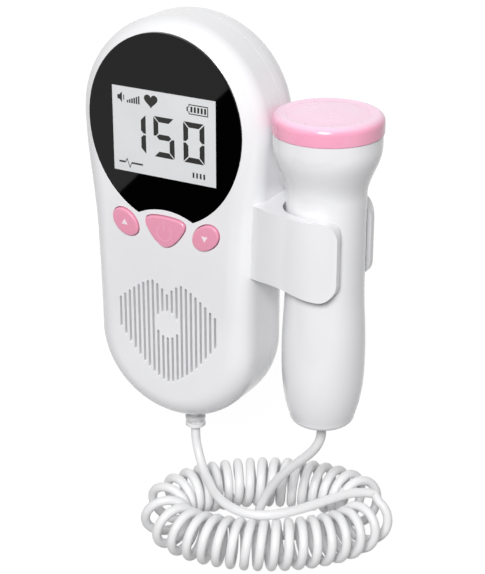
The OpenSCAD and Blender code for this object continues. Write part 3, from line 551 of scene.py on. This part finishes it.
def rim(inset, y):
    """The case's outline, drawn in by inset, as a ring at y."""
    return [(x - nx * inset, y, z - nz * inset) for (x, z), (nx, nz) in zip(OUTLINE, NORMALS)]


def front_skin(w, steps, back_to):
    """Rings of the front's skin, or of a skin that lies w inside it."""
    r = FRONT_R - w
    edge = [rim(w + r * (1 - math.sin(a)), FRONT_Y + w + r * (1 - math.cos(a)))
            for a in quarter_turn(steps)]
    return [rim(FRONT_R + SKIN_PAST, FRONT_Y + w), *edge, rim(w, back_to)]


def back_skin(w, steps, front_to):
    """Rings of the back's skin, or of a skin that lies w inside it."""
    r = BACK_R - w
    edge = [rim(w + r * (1 - math.sin(a)), -w - r * (1 - math.cos(a)))
            for a in reversed(quarter_turn(steps))]
    return [rim(w, front_to), *edge, rim(BACK_R + SKIN_PAST, -w)]


def window_outline(g):
    """Outline of the black window, grown by g: two half ovals with an arch above the power key."""
    side_steps, arch_steps, top = 70, 12, math.radians(90)
    rx, up, down, cx = WINDOW_W / 2 + g, WINDOW_UP + g, WINDOW_DOWN + g, NOTCH_W / 2
    corner = math.acos(cx / rx)
    corner_z = -down * math.sin(corner)
    arch_r = (cx * cx + NOTCH_RISE * NOTCH_RISE) / (2 * NOTCH_RISE)
    arch_z, arch_a = corner_z + NOTCH_RISE - arch_r, math.asin(cx / arch_r)
    right = [(rx * math.cos(a), (up if a > 0 else down) * math.sin(a))
             for a in (top - (top + corner) * i / side_steps for i in range(side_steps + 1))]
    arch = [(arch_r * math.sin(a), arch_z + arch_r * math.cos(a))
            for a in (arch_a * (1 - i / arch_steps) for i in range(1, arch_steps))]
    half = right + arch
    return half + [(0, arch_z + arch_r)] + [(-x, z) for x, z in reversed(half[1:])]


def view_outline(g):
    """Outline of the display's visible area, grown by g."""
    w, h = VIEW_W / 2 + g, VIEW_H / 2 + g
    return bar(-w, -VIEW_DROP - h, w, -VIEW_DROP + h)


KEY_STEPS = 72


def side_key_outline(side, g):
    """A tilted oval, left (-1) or right (1) of the middle, grown by g."""
    tilt = math.radians(side * KEY_TILT)
    points = []
    for i in range(KEY_STEPS):
        a = math.tau * i / KEY_STEPS
        u, v = (KEY_L / 2 + g) * math.cos(a), (KEY_W / 2 + g) * math.sin(a)
        points.append((side * KEY_X + u * math.cos(tilt) - v * math.sin(tilt),
                       -KEY_DROP + u * math.sin(tilt) + v * math.cos(tilt)))
    return points


def power_key_outline(_side, g):
    """A rounded shield with its point down, grown by g."""
    shield_k, shield_w = 0.15, 1.04
    rx, rz = (POWER_W / 2 + g) / shield_w, POWER_H / 2 + g
    return [(rx * (math.sin(a) - shield_k * math.sin(2 * a)),
             -POWER_DROP - rz * (math.cos(a) + shield_k * (math.cos(2 * a) - 1)))
            for a in (math.tau * i / KEY_STEPS for i in range(KEY_STEPS))]


# each key's name, outline, side and centre
KEYS = [("power_button", power_key_outline, 0, (0, -POWER_DROP)),
        ("volume_up_button", side_key_outline, -1, (-KEY_X, -KEY_DROP)),
        ("volume_down_button", side_key_outline, 1, (KEY_X, -KEY_DROP))]

HEART_HALF = SLOT_PITCH * SLOTS


def heart_top(x):
    """Upper end of the slot at x: a cleft in the middle, a lobe and a falling shoulder."""
    lobe_x, lobe_up = 0.3 * HEART_HALF, 17.5
    cleft, cleft_bend, shoulder, shoulder_bend = 4.1, 1.4, 8.5, 1.33
    if x < lobe_x:
        return -HEART_DROP + lobe_up - cleft * ((lobe_x - x) / lobe_x) ** cleft_bend
    return -HEART_DROP + lobe_up - shoulder * ((x - lobe_x) / (HEART_HALF - lobe_x)) ** shoulder_bend


def heart_bottom(x):
    """Lower end of the slot at x: the tip and its flanks."""
    tip_down, flank, flank_bend = 18.5, 16.3, 1.55
    return -HEART_DROP - tip_down + flank * (x / HEART_HALF) ** flank_bend


def slot_outline(x, z0, z1, g):
    r, end_steps = SLOT_W / 2 + g, 10
    return (arc(x, z0 + SLOT_W / 2, r, 180, 360, end_steps)
            + arc(x, z1 - SLOT_W / 2, r, 0, 180, end_steps))


def mouthed(shape, depth, flare):
    """A cutter through the front wall whose mouth opens by flare, as a moulded edge does."""
    mid_depth, mid_flare = 0.35 * flare, 0.4 * flare
    levels = [(-PAST, flare), (0, flare), (mid_depth, mid_flare), (flare, 0.0), (depth, 0.0)]
    return loft([[(x, FRONT_Y + y, z) for x, z in shape(g)] for y, g in levels])


def heart_cutters():
    """A cutter for each slot, in two where the plain disc in the heart parts it."""
    disc_z, flare, cutters = -HEART_DROP + DISC_UP, 0.06, []
    for i in range(-SLOTS, SLOTS + 1):
        x = i * SLOT_PITCH
        low, high = heart_bottom(abs(x)), heart_top(abs(x))
        spans = [(low, high)]
        if abs(x) < DISC_R:
            half = math.sqrt(DISC_R ** 2 - x * x)
            spans = [(disc_z + half, high), (low, disc_z - half)]
        for z0, z1 in spans:
            cutters.append(mouthed(lambda g: slot_outline(x, z0, z1, g), WALL + PAST, flare))
    return cutters


def relief_bore():
    bore_r, z0, z1 = 2.55, FOOT_Z - PAST, FOOT_Z + WALL + PAST
    return lathe([(0, z0), (bore_r, z0), (bore_r, z1), (0, z1)], on_split, 48)


def make_front():
    window_flare, key_flare, view_edge, overlap = 0.1, 0.3, 1.0, 0.2
    front = thing("front_case", loft(front_skin(0, FRONT_STEPS, SPLIT_Y - SEAM) + [rim(SEAM, SPLIT_Y)]))
    carve(front, loft(front_skin(WALL, INNER_STEPS, SPLIT_Y + PAST)))
    carve(front, mouthed(window_outline, WINDOW_T, window_flare))
    carve(front, prism(view_outline(view_edge), FRONT_Y + WINDOW_T - overlap, FRONT_Y + WALL + PAST))
    for _name, shape, side, _centre in KEYS:
        carve(front, mouthed(lambda g: shape(side, KEY_GAP + g), WALL + PAST, key_flare))
    carve(front, join(*heart_cutters()))
    carve(front, relief_bore())
    finish_piece(front, WHITE, "unit", "white_housing", "front_shell")


def round_rect(cx, cz, w, h, r):
    corner_steps = 10
    corners = [(w / 2 - r, h / 2 - r, 0), (r - w / 2, h / 2 - r, 90),
               (r - w / 2, r - h / 2, 180), (w / 2 - r, r - h / 2, 270)]
    return [p for x, z, a in corners for p in arc(cx + x, cz + z, r, a, a + 90, corner_steps)]


def cover_outline(g):
    """Outline of the battery cover, grown by g."""
    w, h = BAY_W + 2 * COVER_LAP + 2 * g, BAY_H + 2 * COVER_LAP + 2 * g
    return round_rect(0, BAY_Z, w, h, COVER_CORNER + g)


def make_back():
    inset, ledge_w, ledge_t = 0.1, 1.6, 2.2
    back = thing("back_case", loft([rim(SEAM, SPLIT_Y)] + back_skin(0, BACK_STEPS, SPLIT_Y + SEAM)))
    carve(back, loft(back_skin(WALL, INNER_STEPS, SPLIT_Y - PAST)))
    # a ledge under the cover's rim and a boss round each screw, kept inside the skin
    seat = thing("seat", loft(back_skin(inset, BACK_STEPS, SPLIT_Y)))
    bosses = [rod(x, z, BOSS_R, SPLIT_Y, PAST) for x, z in SCREW_AT]
    carve(seat, join(prism(cover_outline(ledge_w), -COVER_T - ledge_t, PAST), *bosses), "INTERSECT")
    carve(back, taken(seat), "UNION")
    low, high, out = BAY_Z - BAY_H / 2, BAY_Z + BAY_H / 2, BAY_W / 2 + BAY_WALL
    carve(back, block((-out, -BAY_DEPTH - BAY_WALL, low - BAY_WALL),
                      (out, -COVER_T, high + BAY_WALL)), "UNION")
    carve(back, prism(cover_outline(COVER_GAP), -COVER_T, PAST))
    carve(back, block((-BAY_W / 2, -BAY_DEPTH, low), (BAY_W / 2, PAST, high)))
    latch_w, latch_h = LATCH_W / 2 + LATCH_GAP, LATCH_H / 2 + LATCH_GAP
    carve(back, block((-latch_w, -COVER_T - LATCH_L - LATCH_GAP / 2, LATCH_Z - latch_h),
                      (latch_w, PAST / 2, LATCH_Z + latch_h)))
    head_bore, mouth_r, mouth_depth, shank_bore = SCREW_HEAD_R + 0.1, SCREW_HEAD_R + 0.4, 1.2, 1.3
    for x, z in SCREW_AT:
        mouth = [(0, PAST), (mouth_r, PAST), (head_bore, -mouth_depth), (head_bore, SCREW_SEAT_Y),
                 (shank_bore, SCREW_SEAT_Y), (shank_bore, SPLIT_Y - PAST), (0, SPLIT_Y - PAST)]
        carve(back, lathe(mouth, along_y(x, z), 40))
    carve(back, relief_bore())
    finish_piece(back, WHITE, "unit", "white_housing", "back_shell")


def make_battery_cover():
    """The lid, with grip grooves that shorten downwards and its latch finger."""
    cover = thing("battery_lid", loft(back_skin(0, BACK_STEPS, SPLIT_Y)))
    carve(cover, prism(cover_outline(0), -COVER_T, PAST), "INTERSECT")
    grooves, pitch, groove_h, groove_r, depth = 5, 1.7, 0.7, 0.34, 0.45
    first_drop, first_w, shorter = 11, 16, 1.6
    for i in range(grooves):
        z, w = COVER_TOP - first_drop - pitch * i, first_w - shorter * i
        groove = round_rect(0, z, w, groove_h, groove_r)
        carve(cover, prism(groove, -depth, PAST))
    carve(cover, block((-LATCH_W / 2, -COVER_T - LATCH_L, LATCH_Z - LATCH_H / 2),
                       (LATCH_W / 2, -COVER_T / 2, LATCH_Z + LATCH_H / 2)), "UNION")
    finish_piece(cover, WHITE, "battery_cover", "white_housing", "battery_cover")


def make_screws():
    """Sunk pan heads with a cross recess."""
    shank_r, shank_l, head_r, top = 1.2, 18, SCREW_HEAD_R, SCREW_SEAT_Y + SCREW_HEAD_T
    tip = SCREW_SEAT_Y - shank_l
    profile = [(0, tip), (shank_r, tip), (shank_r, SCREW_SEAT_Y), (head_r, SCREW_SEAT_Y),
               (head_r, top - 0.7), (head_r - 0.4, top - 0.2), (head_r - 1.2, top), (0, top)]
    heads = thing("screws_in_back", join(*[lathe(profile, along_y(x, z), 40) for x, z in SCREW_AT]))
    arm_l, arm_w, depth = 1.5, 0.3, 1.1
    for w, h in ((arm_w, arm_l), (arm_l, arm_w)):
        carve(heads, join(*[block((x - w, top - depth, z - h), (x + w, top + PAST, z + h))
                            for x, z in SCREW_AT]))
    finish_piece(heads, STEEL, "unit", "plated_steel", "case_screws")


# ---- window and display
FACE_Y = FRONT_Y + 0.12     # the display's face, just behind that of the window


def make_window():
    """A flat black plate with a softened rim, open where the display shows."""
    soft = 0.2
    levels = [(0, -soft), (0.3 * soft, -0.3 * soft), (soft, 0.0), (WINDOW_T, 0.0)]
    plate = loft([[(x, FRONT_Y + y, z) for x, z in window_outline(g)] for y, g in levels])
    lens = thing("window_lens", plate)
    carve(lens, prism(view_outline(0), FRONT_Y - PAST, FRONT_Y + WINDOW_T + PAST))
    finish_piece(lens, LENS, "unit", "black_window", "display_window")


def polygon_marks():
    """Outlines of the display's figures in X and Z: icons, bars and three digits of seven segments."""
    # a loudspeaker and its wave, six bars that rise, and a heart
    marks = [[(-16.9, 6.6), (-16.2, 6.6), (-15.2, 5.6), (-15.2, 9.0), (-16.2, 8.0), (-16.9, 8.0)],
             bar(-14.7, 6.5, -14.4, 8.1)]
    for i in range(6):
        x, top = -13.4 + 0.84 * i, 6.6 + 0.36 * i
        marks.append(bar(x, 5.8, x + 0.52, top))
    heart = [(16 * math.sin(a) ** 3,
              13 * math.cos(a) - 5 * math.cos(2 * a) - 2 * math.cos(3 * a) - math.cos(4 * a))
             for a in (math.tau * i / 48 for i in range(48))]
    marks.append([(-4.5 + 0.156 * x, 7.6 + 0.152 * z) for x, z in heart])
    # battery: two rails, a cap at each end and five bars
    marks += [bar(9.2, z, 16.2, z + 0.3) for z in (5.4, 8.3)]
    marks += [bar(x, z0, x + 0.3, z1)
              for x, z0, z1 in ((15.9, 5.8, 8.2), (9.2, 5.8, 6.4), (9.2, 7.6, 8.2))]
    marks.append(bar(8.5, 6.3, 9.0, 7.7))
    marks += [bar(9.9 + 1.22 * i, 6.1, 10.6 + 1.22 * i, 7.9) for i in range(5)]
    for digit, x0 in (("bc", -14.2), ("acdfg", -3.7), ("abcdef", 7.2)):
        marks += digit_marks(digit, x0, x0 + 7.6, -10.2, 2.9)
    # a plain pulse line and four ticks stand where the units are written
    pulse = [(-16.9, -13.6), (-14.6, -13.6), (-13.9, -12.5), (-12.9, -15.2), (-12.2, -13.6), (-8.0, -13.6)]
    marks.append(pulse + [(x, z - 0.55) for x, z in reversed(pulse)])
    marks += [bar(10.4 + 1.3 * i, -14.9, 11.0 + 1.3 * i, -13.2) for i in range(4)]
    return marks


def digit_marks(lit, x0, x1, z0, z1):
    """The lit segments of one digit; a is on top and the rest follow clockwise, with g in the middle."""
    t, g, mid = 1.75, 0.26, (z0 + z1) / 2       # a segment's width, its gap and the middle's height
    half = t / 2
    right_up = [(x1, z1 - g), (x1 - t, z1 - t - g), (x1 - t, mid + half + g),
                (x1 - half, mid + g), (x1, mid + g)]
    flat = [(x0 + half + g, mid), (x0 + t + g, mid + half), (x1 - t - g, mid + half),
            (x1 - half - g, mid), (x1 - t - g, mid - half), (x0 + t + g, mid - half)]
    top = [(x0 + g, z1), (x1 - g, z1), (x1 - t - g, z1 - t), (x0 + t + g, z1 - t)]

    def over(shape):
        return [(x, 2 * mid - z) for x, z in shape]

    def across(shape):
        return [(x0 + x1 - x, z) for x, z in shape]

    segments = {"a": top, "b": right_up, "c": over(right_up), "d": over(top),
                "e": over(across(right_up)), "f": across(right_up), "g": flat}
    return [segments[s] for s in lit]


def make_display():
    gap, panel_t, mark_t = 0.02, 2.2, 0.1       # panel_t lies behind the front's wall
    face = thing("display_face", prism(view_outline(-gap), FACE_Y, FRONT_Y + WALL + panel_t))
    finish_piece(face, DISPLAY, "unit", "display_glass", "lcd_panel")
    figures = [prism(m, FACE_Y - mark_t / 2, FACE_Y + mark_t / 2) for m in polygon_marks()]
    marks = thing("display_marks", join(*figures))
    finish_piece(marks, SEGMENT, "unit", "black_plastic")


# ---- keys
MARK_Y = FRONT_Y - PROUD - 0.03     # the face of the marks, a hair in front of the keys


def dome_y(centre, x, z):
    """The Y of a key's face, a shallow dome round its centre."""
    dome_r = 150.0
    return FRONT_Y - PROUD + ((x - centre[0]) ** 2 + (z - centre[1]) ** 2) / (2 * dome_r)


def make_keys():
    edge_r, middle_steps, edge_steps = 0.55, 6, 5
    flange_w, flange_t, stem_r, stem_from, stem_to = 0.8, 1.2, 1.6, 0.6, 2.6
    inside = FRONT_Y + WALL
    for name, shape, side, centre in KEYS:
        flat = shape(side, -edge_r)
        rings = []
        for i in range(1, middle_steps + 1):
            s = i / middle_steps
            ring = [(centre[0] + s * (x - centre[0]), centre[1] + s * (z - centre[1])) for x, z in flat]
            rings.append([(x, dome_y(centre, x, z), z) for x, z in ring])
        for a in quarter_turn(edge_steps, 1):
            ring = shape(side, -edge_r * (1 - math.sin(a)))
            rings.append([(x, dome_y(centre, fx, fz) + edge_r * (1 - math.cos(a)), z)
                          for (x, z), (fx, fz) in zip(ring, flat)])
        rings.append([(x, inside, z) for x, z in shape(side, 0)])
        rings += [[(x, y, z) for x, z in shape(side, flange_w)] for y in (inside, inside + flange_t)]
        key = thing("key_" + name, loft(rings))
        carve(key, rod(*centre, stem_r, inside + stem_from, inside + stem_to), "UNION")
        finish_piece(key, PINK, name, "pink_plastic", name, sharp=50.0)


def make_volume_marks():
    """A white triangle on each volume key, up on the left one and down on the right one."""
    thick, shift, half_base, base, tip = 0.25, 0.1, 1.15, 0.8, 1.1
    for name, _shape, side, (x, middle) in KEYS[1:]:
        up = -side
        z = middle + shift * up
        triangle = [(x - half_base, z - base * up), (x + half_base, z - base * up), (x, z + tip * up)]
        mark = thing("mark_" + name, prism(triangle, MARK_Y, MARK_Y + thick))
        finish_piece(mark, KEY_MARK, name, "light_plastic")


def make_power_mark():
    """A ring that is open at the top, with a stroke in the opening."""
    r, w, z = 2.9, 0.42, -POWER_DROP - 0.1
    ring_from, ring_to, steps = 130, 410, 40
    stroke_from, stroke_to, ring_t, stroke_t = 0.9, 4.0, 0.3, 0.5
    ring = arc(0, z, r, ring_from, ring_to, steps) + arc(0, z, r - w, ring_to, ring_from, steps)
    stroke = bar(-w / 2, z + stroke_from, w / 2, z + stroke_to)
    mark = thing("mark_power", join(prism(ring, MARK_Y, MARK_Y + ring_t),
                                    prism(stroke, MARK_Y, MARK_Y + stroke_t)))
    finish_piece(mark, POWER_MARK, "power_button", "light_plastic")


# ---- probe, clip and strain relief
PROBE_SIDES, EDGE_STEPS = 128, 12


def on_probe(u, v, h):
    """A point at height h below the probe's seam, u and v off its axis."""
    return PROBE_X + u, PROBE_Y + v, SEAM_Z - h


def ease(t):
    return (1 - math.cos(math.pi * t)) / 2


def probe_r(h):
    """The probe's radius at height h below its seam: head, waist, bulge and a taper to the end."""
    taper_power = 2.8
    if h < HEAD_TO:
        return HEAD_R
    if h < WAIST_FROM:
        return HEAD_R - (HEAD_R - WAIST_R) * ease((h - HEAD_TO) / (WAIST_FROM - HEAD_TO))
    if h < WAIST_TO:
        return WAIST_R
    if h < BULGE_AT:
        return WAIST_R + (BULGE_R - WAIST_R) * ease((h - WAIST_TO) / (BULGE_AT - WAIST_TO))
    share = (h - BULGE_AT) / (PROBE_L - END_ROUND - BULGE_AT)
    return BULGE_R - (BULGE_R - END_R - END_ROUND) * share ** taper_power


def make_probe_body():
    """The handle: a socket for the cap, the wall, a rounded end and the bushing's bore."""
    chamfer, socket_r, socket_depth = 0.25, HEAD_R - 2.3, 3.0
    bore_r, bore_chamfer, bore_depth = 2.7, 0.4, 4.0
    bends = [chamfer, HEAD_TO, WAIST_FROM, WAIST_TO, BULGE_AT, PROBE_L - END_ROUND]
    levels = [chamfer]
    for low, high, steps in zip(bends, bends[1:], (3, 24, 6, 16, 24)):
        levels += [low + (high - low) * i / steps for i in range(1, steps + 1)]
    socket = [(0, socket_depth), (socket_r, socket_depth), (socket_r, 0.0)]
    wall = [(HEAD_R - chamfer, 0.0)] + [(probe_r(h), h) for h in levels]
    end = [(END_R + END_ROUND * math.cos(a), PROBE_L - END_ROUND * (1 - math.sin(a)))
           for a in quarter_turn(EDGE_STEPS, 1)]
    bore = [(bore_r + bore_chamfer, PROBE_L), (bore_r, PROBE_L - bore_chamfer),
            (bore_r, PROBE_L - bore_depth), (0, PROBE_L - bore_depth)]
    body = thing("probe_handle", lathe(socket + wall + end + bore, on_probe, PROBE_SIDES))
    finish_piece(body, WHITE, "probe", "white_housing", "probe_body", sharp=40.0)


def make_probe_cap():
    """The cap: its plug and skirt, a rounded edge, and a face that steps down and then swells a little."""
    edge_r, face_dip, swell, dome_steps = 2.4, 0.25, 0.35, 8
    plug_r, plug_depth, soft = HEAD_R - 2.4, 4.5, 0.05
    flat_r, face_h = CAP_R - edge_r, -CAP_H + 0.1
    dome_r, dome_h = flat_r - 2.4, face_h + 0.04 + face_dip
    skirt = [(0, plug_depth), (plug_r, plug_depth), (plug_r, soft), (CAP_R - 0.5, soft),
             (CAP_R - 0.15, -soft), (CAP_R, -0.35)]
    edge = [(flat_r + edge_r * math.cos(a), face_h + edge_r * (1 - math.sin(a)))
            for a in quarter_turn(EDGE_STEPS)]
    face = [(flat_r - 1.0, face_h + 0.02), (flat_r - 1.6, face_h + face_dip), (dome_r, dome_h)]
    dome = [(dome_r * s, dome_h - swell * (1 - s * s))
            for s in (1 - i / dome_steps for i in range(1, dome_steps + 1))]
    cap = thing("probe_top", lathe(skirt + edge + face + dome, on_probe, PROBE_SIDES))
    finish_piece(cap, CAP_PINK_PAINTED_LIGHT, "probe", "pink_plastic", "probe_cap", sharp=40.0)


def make_probe_bushing():
    start, end, soft_r, soft_h = PROBE_L - 6.4, PROBE_L + BUSHING_PROUD, 0.3, 0.4
    profile = [(0, start), (BUSHING_R, start), (BUSHING_R, end - soft_h),
               (BUSHING_R - soft_r, end), (0, end)]
    bushing = thing("probe_cord_bushing", lathe(profile, on_probe, 48))
    finish_piece(bushing, CORD, "probe", "white_cord", "probe_bushing")


def bezier(p, t):
    s = 1 - t
    return tuple(s ** 3 * a + 3 * s * s * t * b + 3 * s * t * t * c + t ** 3 * d for a, b, c, d in zip(*p))


def clip_outline():
    """The clip in X and Y: two arms that leave the case in a sweep and close round the probe."""
    r_in, sweep_steps, lip_steps, seat_steps = BULGE_R + CLIP_GAP, 30, 14, 90
    r_out = r_in + CLIP_T
    root_x, root_y = BODY_W / 2 - 4.8, -7.4
    pull = [(root_x, root_y), (root_x + 7, root_y - 0.8), (PROBE_X - 12, -r_out), (PROBE_X, -r_out)]
    sweep = [bezier(pull, i / sweep_steps) for i in range(sweep_steps + 1)]
    arm = sweep + arc(PROBE_X, 0, r_out, -90, -MOUTH_A, lip_steps)[1:]
    seat = arc(PROBE_X, 0, r_in, -MOUTH_A, MOUTH_A - 360, seat_steps)
    return [(x, PROBE_Y + y) for x, y in arm + seat + [(x, -y) for x, y in reversed(arm)]]


def clip_side():
    """The clip in X and Z: rounded tips, arms that are a little lower at the case, and a lower edge that
    rises between the case and the probe."""
    half_h, tip_x, corner_x = CLIP_H / 2, PROBE_X + 10.3, 0.8 * CLIP_CORNER
    arm_from, arm_to, root_run, root_fall = BODY_W / 2 - 2.3, PROBE_X + 6, 18.0, 1.1
    edge_rise, rise_steps = 1.9, 16
    corners = [(tip_x - corner_x * (1 - math.cos(a)), half_h - CLIP_CORNER * (1 - math.sin(a)))
               for a in quarter_turn(EDGE_STEPS)]
    upper = [(arm_from + root_run, half_h), (arm_from, half_h - root_fall), (0, half_h - root_fall)]
    lower = [(arm_from + (arm_to - arm_from) * s, -half_h + edge_rise * math.sin(math.pi * s) ** 2)
             for s in (i / rise_steps for i in range(rise_steps))]
    side = upper + [(0, -half_h)] + lower + [(x, -z) for x, z in reversed(corners)] + corners
    return [(x, -CLIP_DROP - half_h + z) for x, z in side]


def make_clip():
    soft, inset = 0.6, 0.05
    clip = thing("clip", prism_z(clip_outline(), -CLIP_DROP - CLIP_H, -CLIP_DROP))
    carve(clip, prism(clip_side(), -CASE_D * 2, CASE_D), "INTERSECT")
    bevel = clip.modifiers.new("soft_edges", "BEVEL")
    bevel.width = soft * MM
    bevel.segments = 3
    bevel.limit_method = "ANGLE"
    bevel.angle_limit = math.radians(40)
    bake(clip)
    skin = front_skin(inset, FRONT_STEPS, SPLIT_Y) + back_skin(inset, BACK_STEPS, SPLIT_Y)[1:]
    carve(clip, taken(thing("case_solid", loft(skin))))
    finish_piece(clip, WHITE, "unit", "white_housing", "probe_clip", sharp=28.0)


def make_relief():
    """Ribbed sleeve whose grooves are cut deeper on alternate sides."""
    sleeve_r, rings, ring_h, soft = RELIEF_R - 0.9, 4, 1.5, 0.3
    root_r, root_l, reach = 2.4, 2.6, 5.0
    pitch = (RELIEF_L - ring_h) / (rings - 1)
    profile = [(0, RELIEF_END_Z)]
    for i in range(rings):
        z = RELIEF_END_Z + i * pitch
        profile += [(RELIEF_R - soft, z), (RELIEF_R, z + soft), (RELIEF_R, z + ring_h - soft),
                    (RELIEF_R - soft, z + ring_h)]
        if i < rings - 1:
            profile += [(sleeve_r, z + ring_h), (sleeve_r, z + pitch)]
    profile += [(root_r, RELIEF_OUT_Z), (root_r, FOOT_Z + root_l), (0, FOOT_Z + root_l)]
    relief = thing("cord_relief", lathe(profile, on_split, 64))
    gap = (pitch - ring_h) / 2
    for i in range(rings - 1):
        z = RELIEF_END_Z + i * pitch + ring_h + gap
        for side in (-1, 1):
            x, y = (side * RELIEF_R, SPLIT_Y) if i % 2 else (0, SPLIT_Y + side * RELIEF_R)
            w, d = (RELIEF_R / 2, reach) if i % 2 else (reach, RELIEF_R / 2)
            carve(relief, block((x - w, y - d, z - gap), (x + w, y + d, z + gap)))
    finish_piece(relief, CORD, "unit", "white_cord", "strain_relief")


# ---- what stays from the part
def dress_inner_pieces():
    for node, material in (
            ("lcd_frame", INNER), ("button_membrane", RUBBER), ("main_board", BOARD),
            ("tact_switches", BLACK), ("speaker", CONE), ("speaker_gasket", FOAM),
            ("battery_cells", CELL), ("battery_contacts", STEEL), ("board_screws", STEEL),
            ("clip_screws", STEEL), ("probe_crystals", CRYSTAL), ("crystal_backing", RUBBER),
            ("probe_board", BOARD)):
        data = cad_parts[node].data
        data.materials.clear()
        data.materials.append(material)


# ---- studio
def seen_ray(nodes, links):
    """1 for a ray that shows the background: from the camera, off a gloss or through glass."""
    path = nodes.new("ShaderNodeLightPath")
    value = path.outputs["Is Camera Ray"]
    for name in ("Is Glossy Ray", "Is Transmission Ray"):
        node = nodes.new("ShaderNodeMath")
        node.operation = "MAXIMUM"
        links.new(value, node.inputs[0])
        links.new(path.outputs[name], node.inputs[1])
        value = node.outputs[0]
    return value


def make_world(ambient):
    world = bpy.data.worlds.new("studio")
    bpy.context.scene.world = world
    world.use_nodes = True
    nodes, links = world.node_tree.nodes, world.node_tree.links
    back = nodes["Background"]
    strength = nodes.new("ShaderNodeMapRange")
    put(strength, To_Min=ambient, To_Max=1.0)
    links.new(seen_ray(nodes, links), strength.inputs["Value"])
    links.new(strength.outputs["Result"], back.inputs["Strength"])
    put(back, Color=(1, 1, 1, 1))


def make_floor(kept_shadow):
    """Pale floor: mostly white where it is seen, with a share of lit white that keeps the shadow."""
    size, thick, gap = 6000, 20, 0.05
    far_light = 0.5     # the lamps' share of white on the far floor
    floor = thing("floor", block((-size, -size, FLOOR_Z - thick), (size, size, FLOOR_Z - gap)))
    material, nodes, links = node_material("floor_white")
    lit = nodes["Principled BSDF"]
    put(lit, Roughness=0.8)
    seen = seen_ray(nodes, links)
    tone = colour_mix(nodes, links, seen, srgb(112, 112, 113), srgb(250, 250, 250))
    links.new(tone, lit.inputs["Base Color"])
    glow, mix = nodes.new("ShaderNodeEmission"), nodes.new("ShaderNodeMixShader")
    put(glow, Strength=(1 - kept_shadow * far_light) / (1 - kept_shadow))
    share = nodes.new("ShaderNodeMath")
    share.operation = "MULTIPLY"
    share.inputs[1].default_value = 1 - kept_shadow
    links.new(seen, share.inputs[0])
    links.new(share.outputs[0], mix.inputs[0])
    links.new(lit.outputs[0], mix.inputs[1])
    links.new(glow.outputs[0], mix.inputs[2])
    links.new(mix.outputs[0], nodes["Material Output"].inputs["Surface"])
    floor.data.materials.append(material)


def make_lamp(name, azimuth, elevation, level, size, shown_in_gloss):
    """A round soft lamp; level is the share of white that it gives a white surface turned to it."""
    distance = 1.2
    a, e = math.radians(azimuth), math.radians(elevation)
    way = Vector((math.sin(a) * math.cos(e), -math.cos(a) * math.cos(e), math.sin(e)))
    data = bpy.data.lights.new(name, "AREA")
    data.shape = "DISK"
    data.size = size
    data.energy = level * (math.pi * distance) ** 2
    lamp = bpy.data.objects.new(name, data)
    bpy.context.scene.collection.objects.link(lamp)
    lamp.location = LIT_POINT + way * distance
    lamp.rotation_mode = "QUATERNION"
    lamp.rotation_quaternion = (-way).to_track_quat("-Z", "Y")
    lamp.visible_glossy = shown_in_gloss


def make_window_flag():
    """A dark card low in front, seen only in reflections: its edge is the line in the window's gloss."""
    distance, reach = 200, 700
    mirrored_eye = Vector((EYE.x, 2 * FRONT_Y - EYE.y, EYE.z))

    def seen_in_window(x, z):
        point = Vector((x, FRONT_Y, z))
        return point + unit_vector(point - mirrored_eye) * distance

    first, last = seen_in_window(*GLOSS_FROM), seen_in_window(*GLOSS_TO)
    dark_side = seen_in_window(*GLOSS_DARK)
    along = unit_vector(last - first)
    aside = unit_vector((dark_side - first) - along * (dark_side - first).dot(along))
    corners = [first - along * reach, last + along * reach,
               last + (along + aside) * reach, first + (aside - along) * reach]
    card = thing("window_flag", ([tuple(p) for p in corners], [[0, 1, 2, 3]]))
    material, nodes, links = node_material("flag_black")
    glow = nodes.new("ShaderNodeEmission")
    put(glow, Strength=0.0)
    links.new(glow.outputs[0], nodes["Material Output"].inputs["Surface"])
    card.data.materials.append(material)
    for kind in ("camera", "diffuse", "transmission", "volume_scatter", "shadow"):
        setattr(card, "visible_" + kind, False)


def make_studio():
    bpy.context.scene.view_settings.view_transform = "Standard"
    make_world(0.2)
    make_floor(0.15)
    make_window_flag()
    make_lamp("key", 20, 34, 0.98, 0.45, True)
    make_lamp("top", 90, 72, 0.08, 0.8, False)
    make_lamp("back", 208, 20, 0.35, 0.8, False)


make_camera()
make_cords()
make_front()
make_back()
make_battery_cover()
make_screws()
make_window()
make_display()
make_keys()
make_volume_marks()
make_power_mark()
make_probe_body()
make_probe_cap()
make_probe_bushing()
make_clip()
make_relief()
dress_inner_pieces()
make_studio()
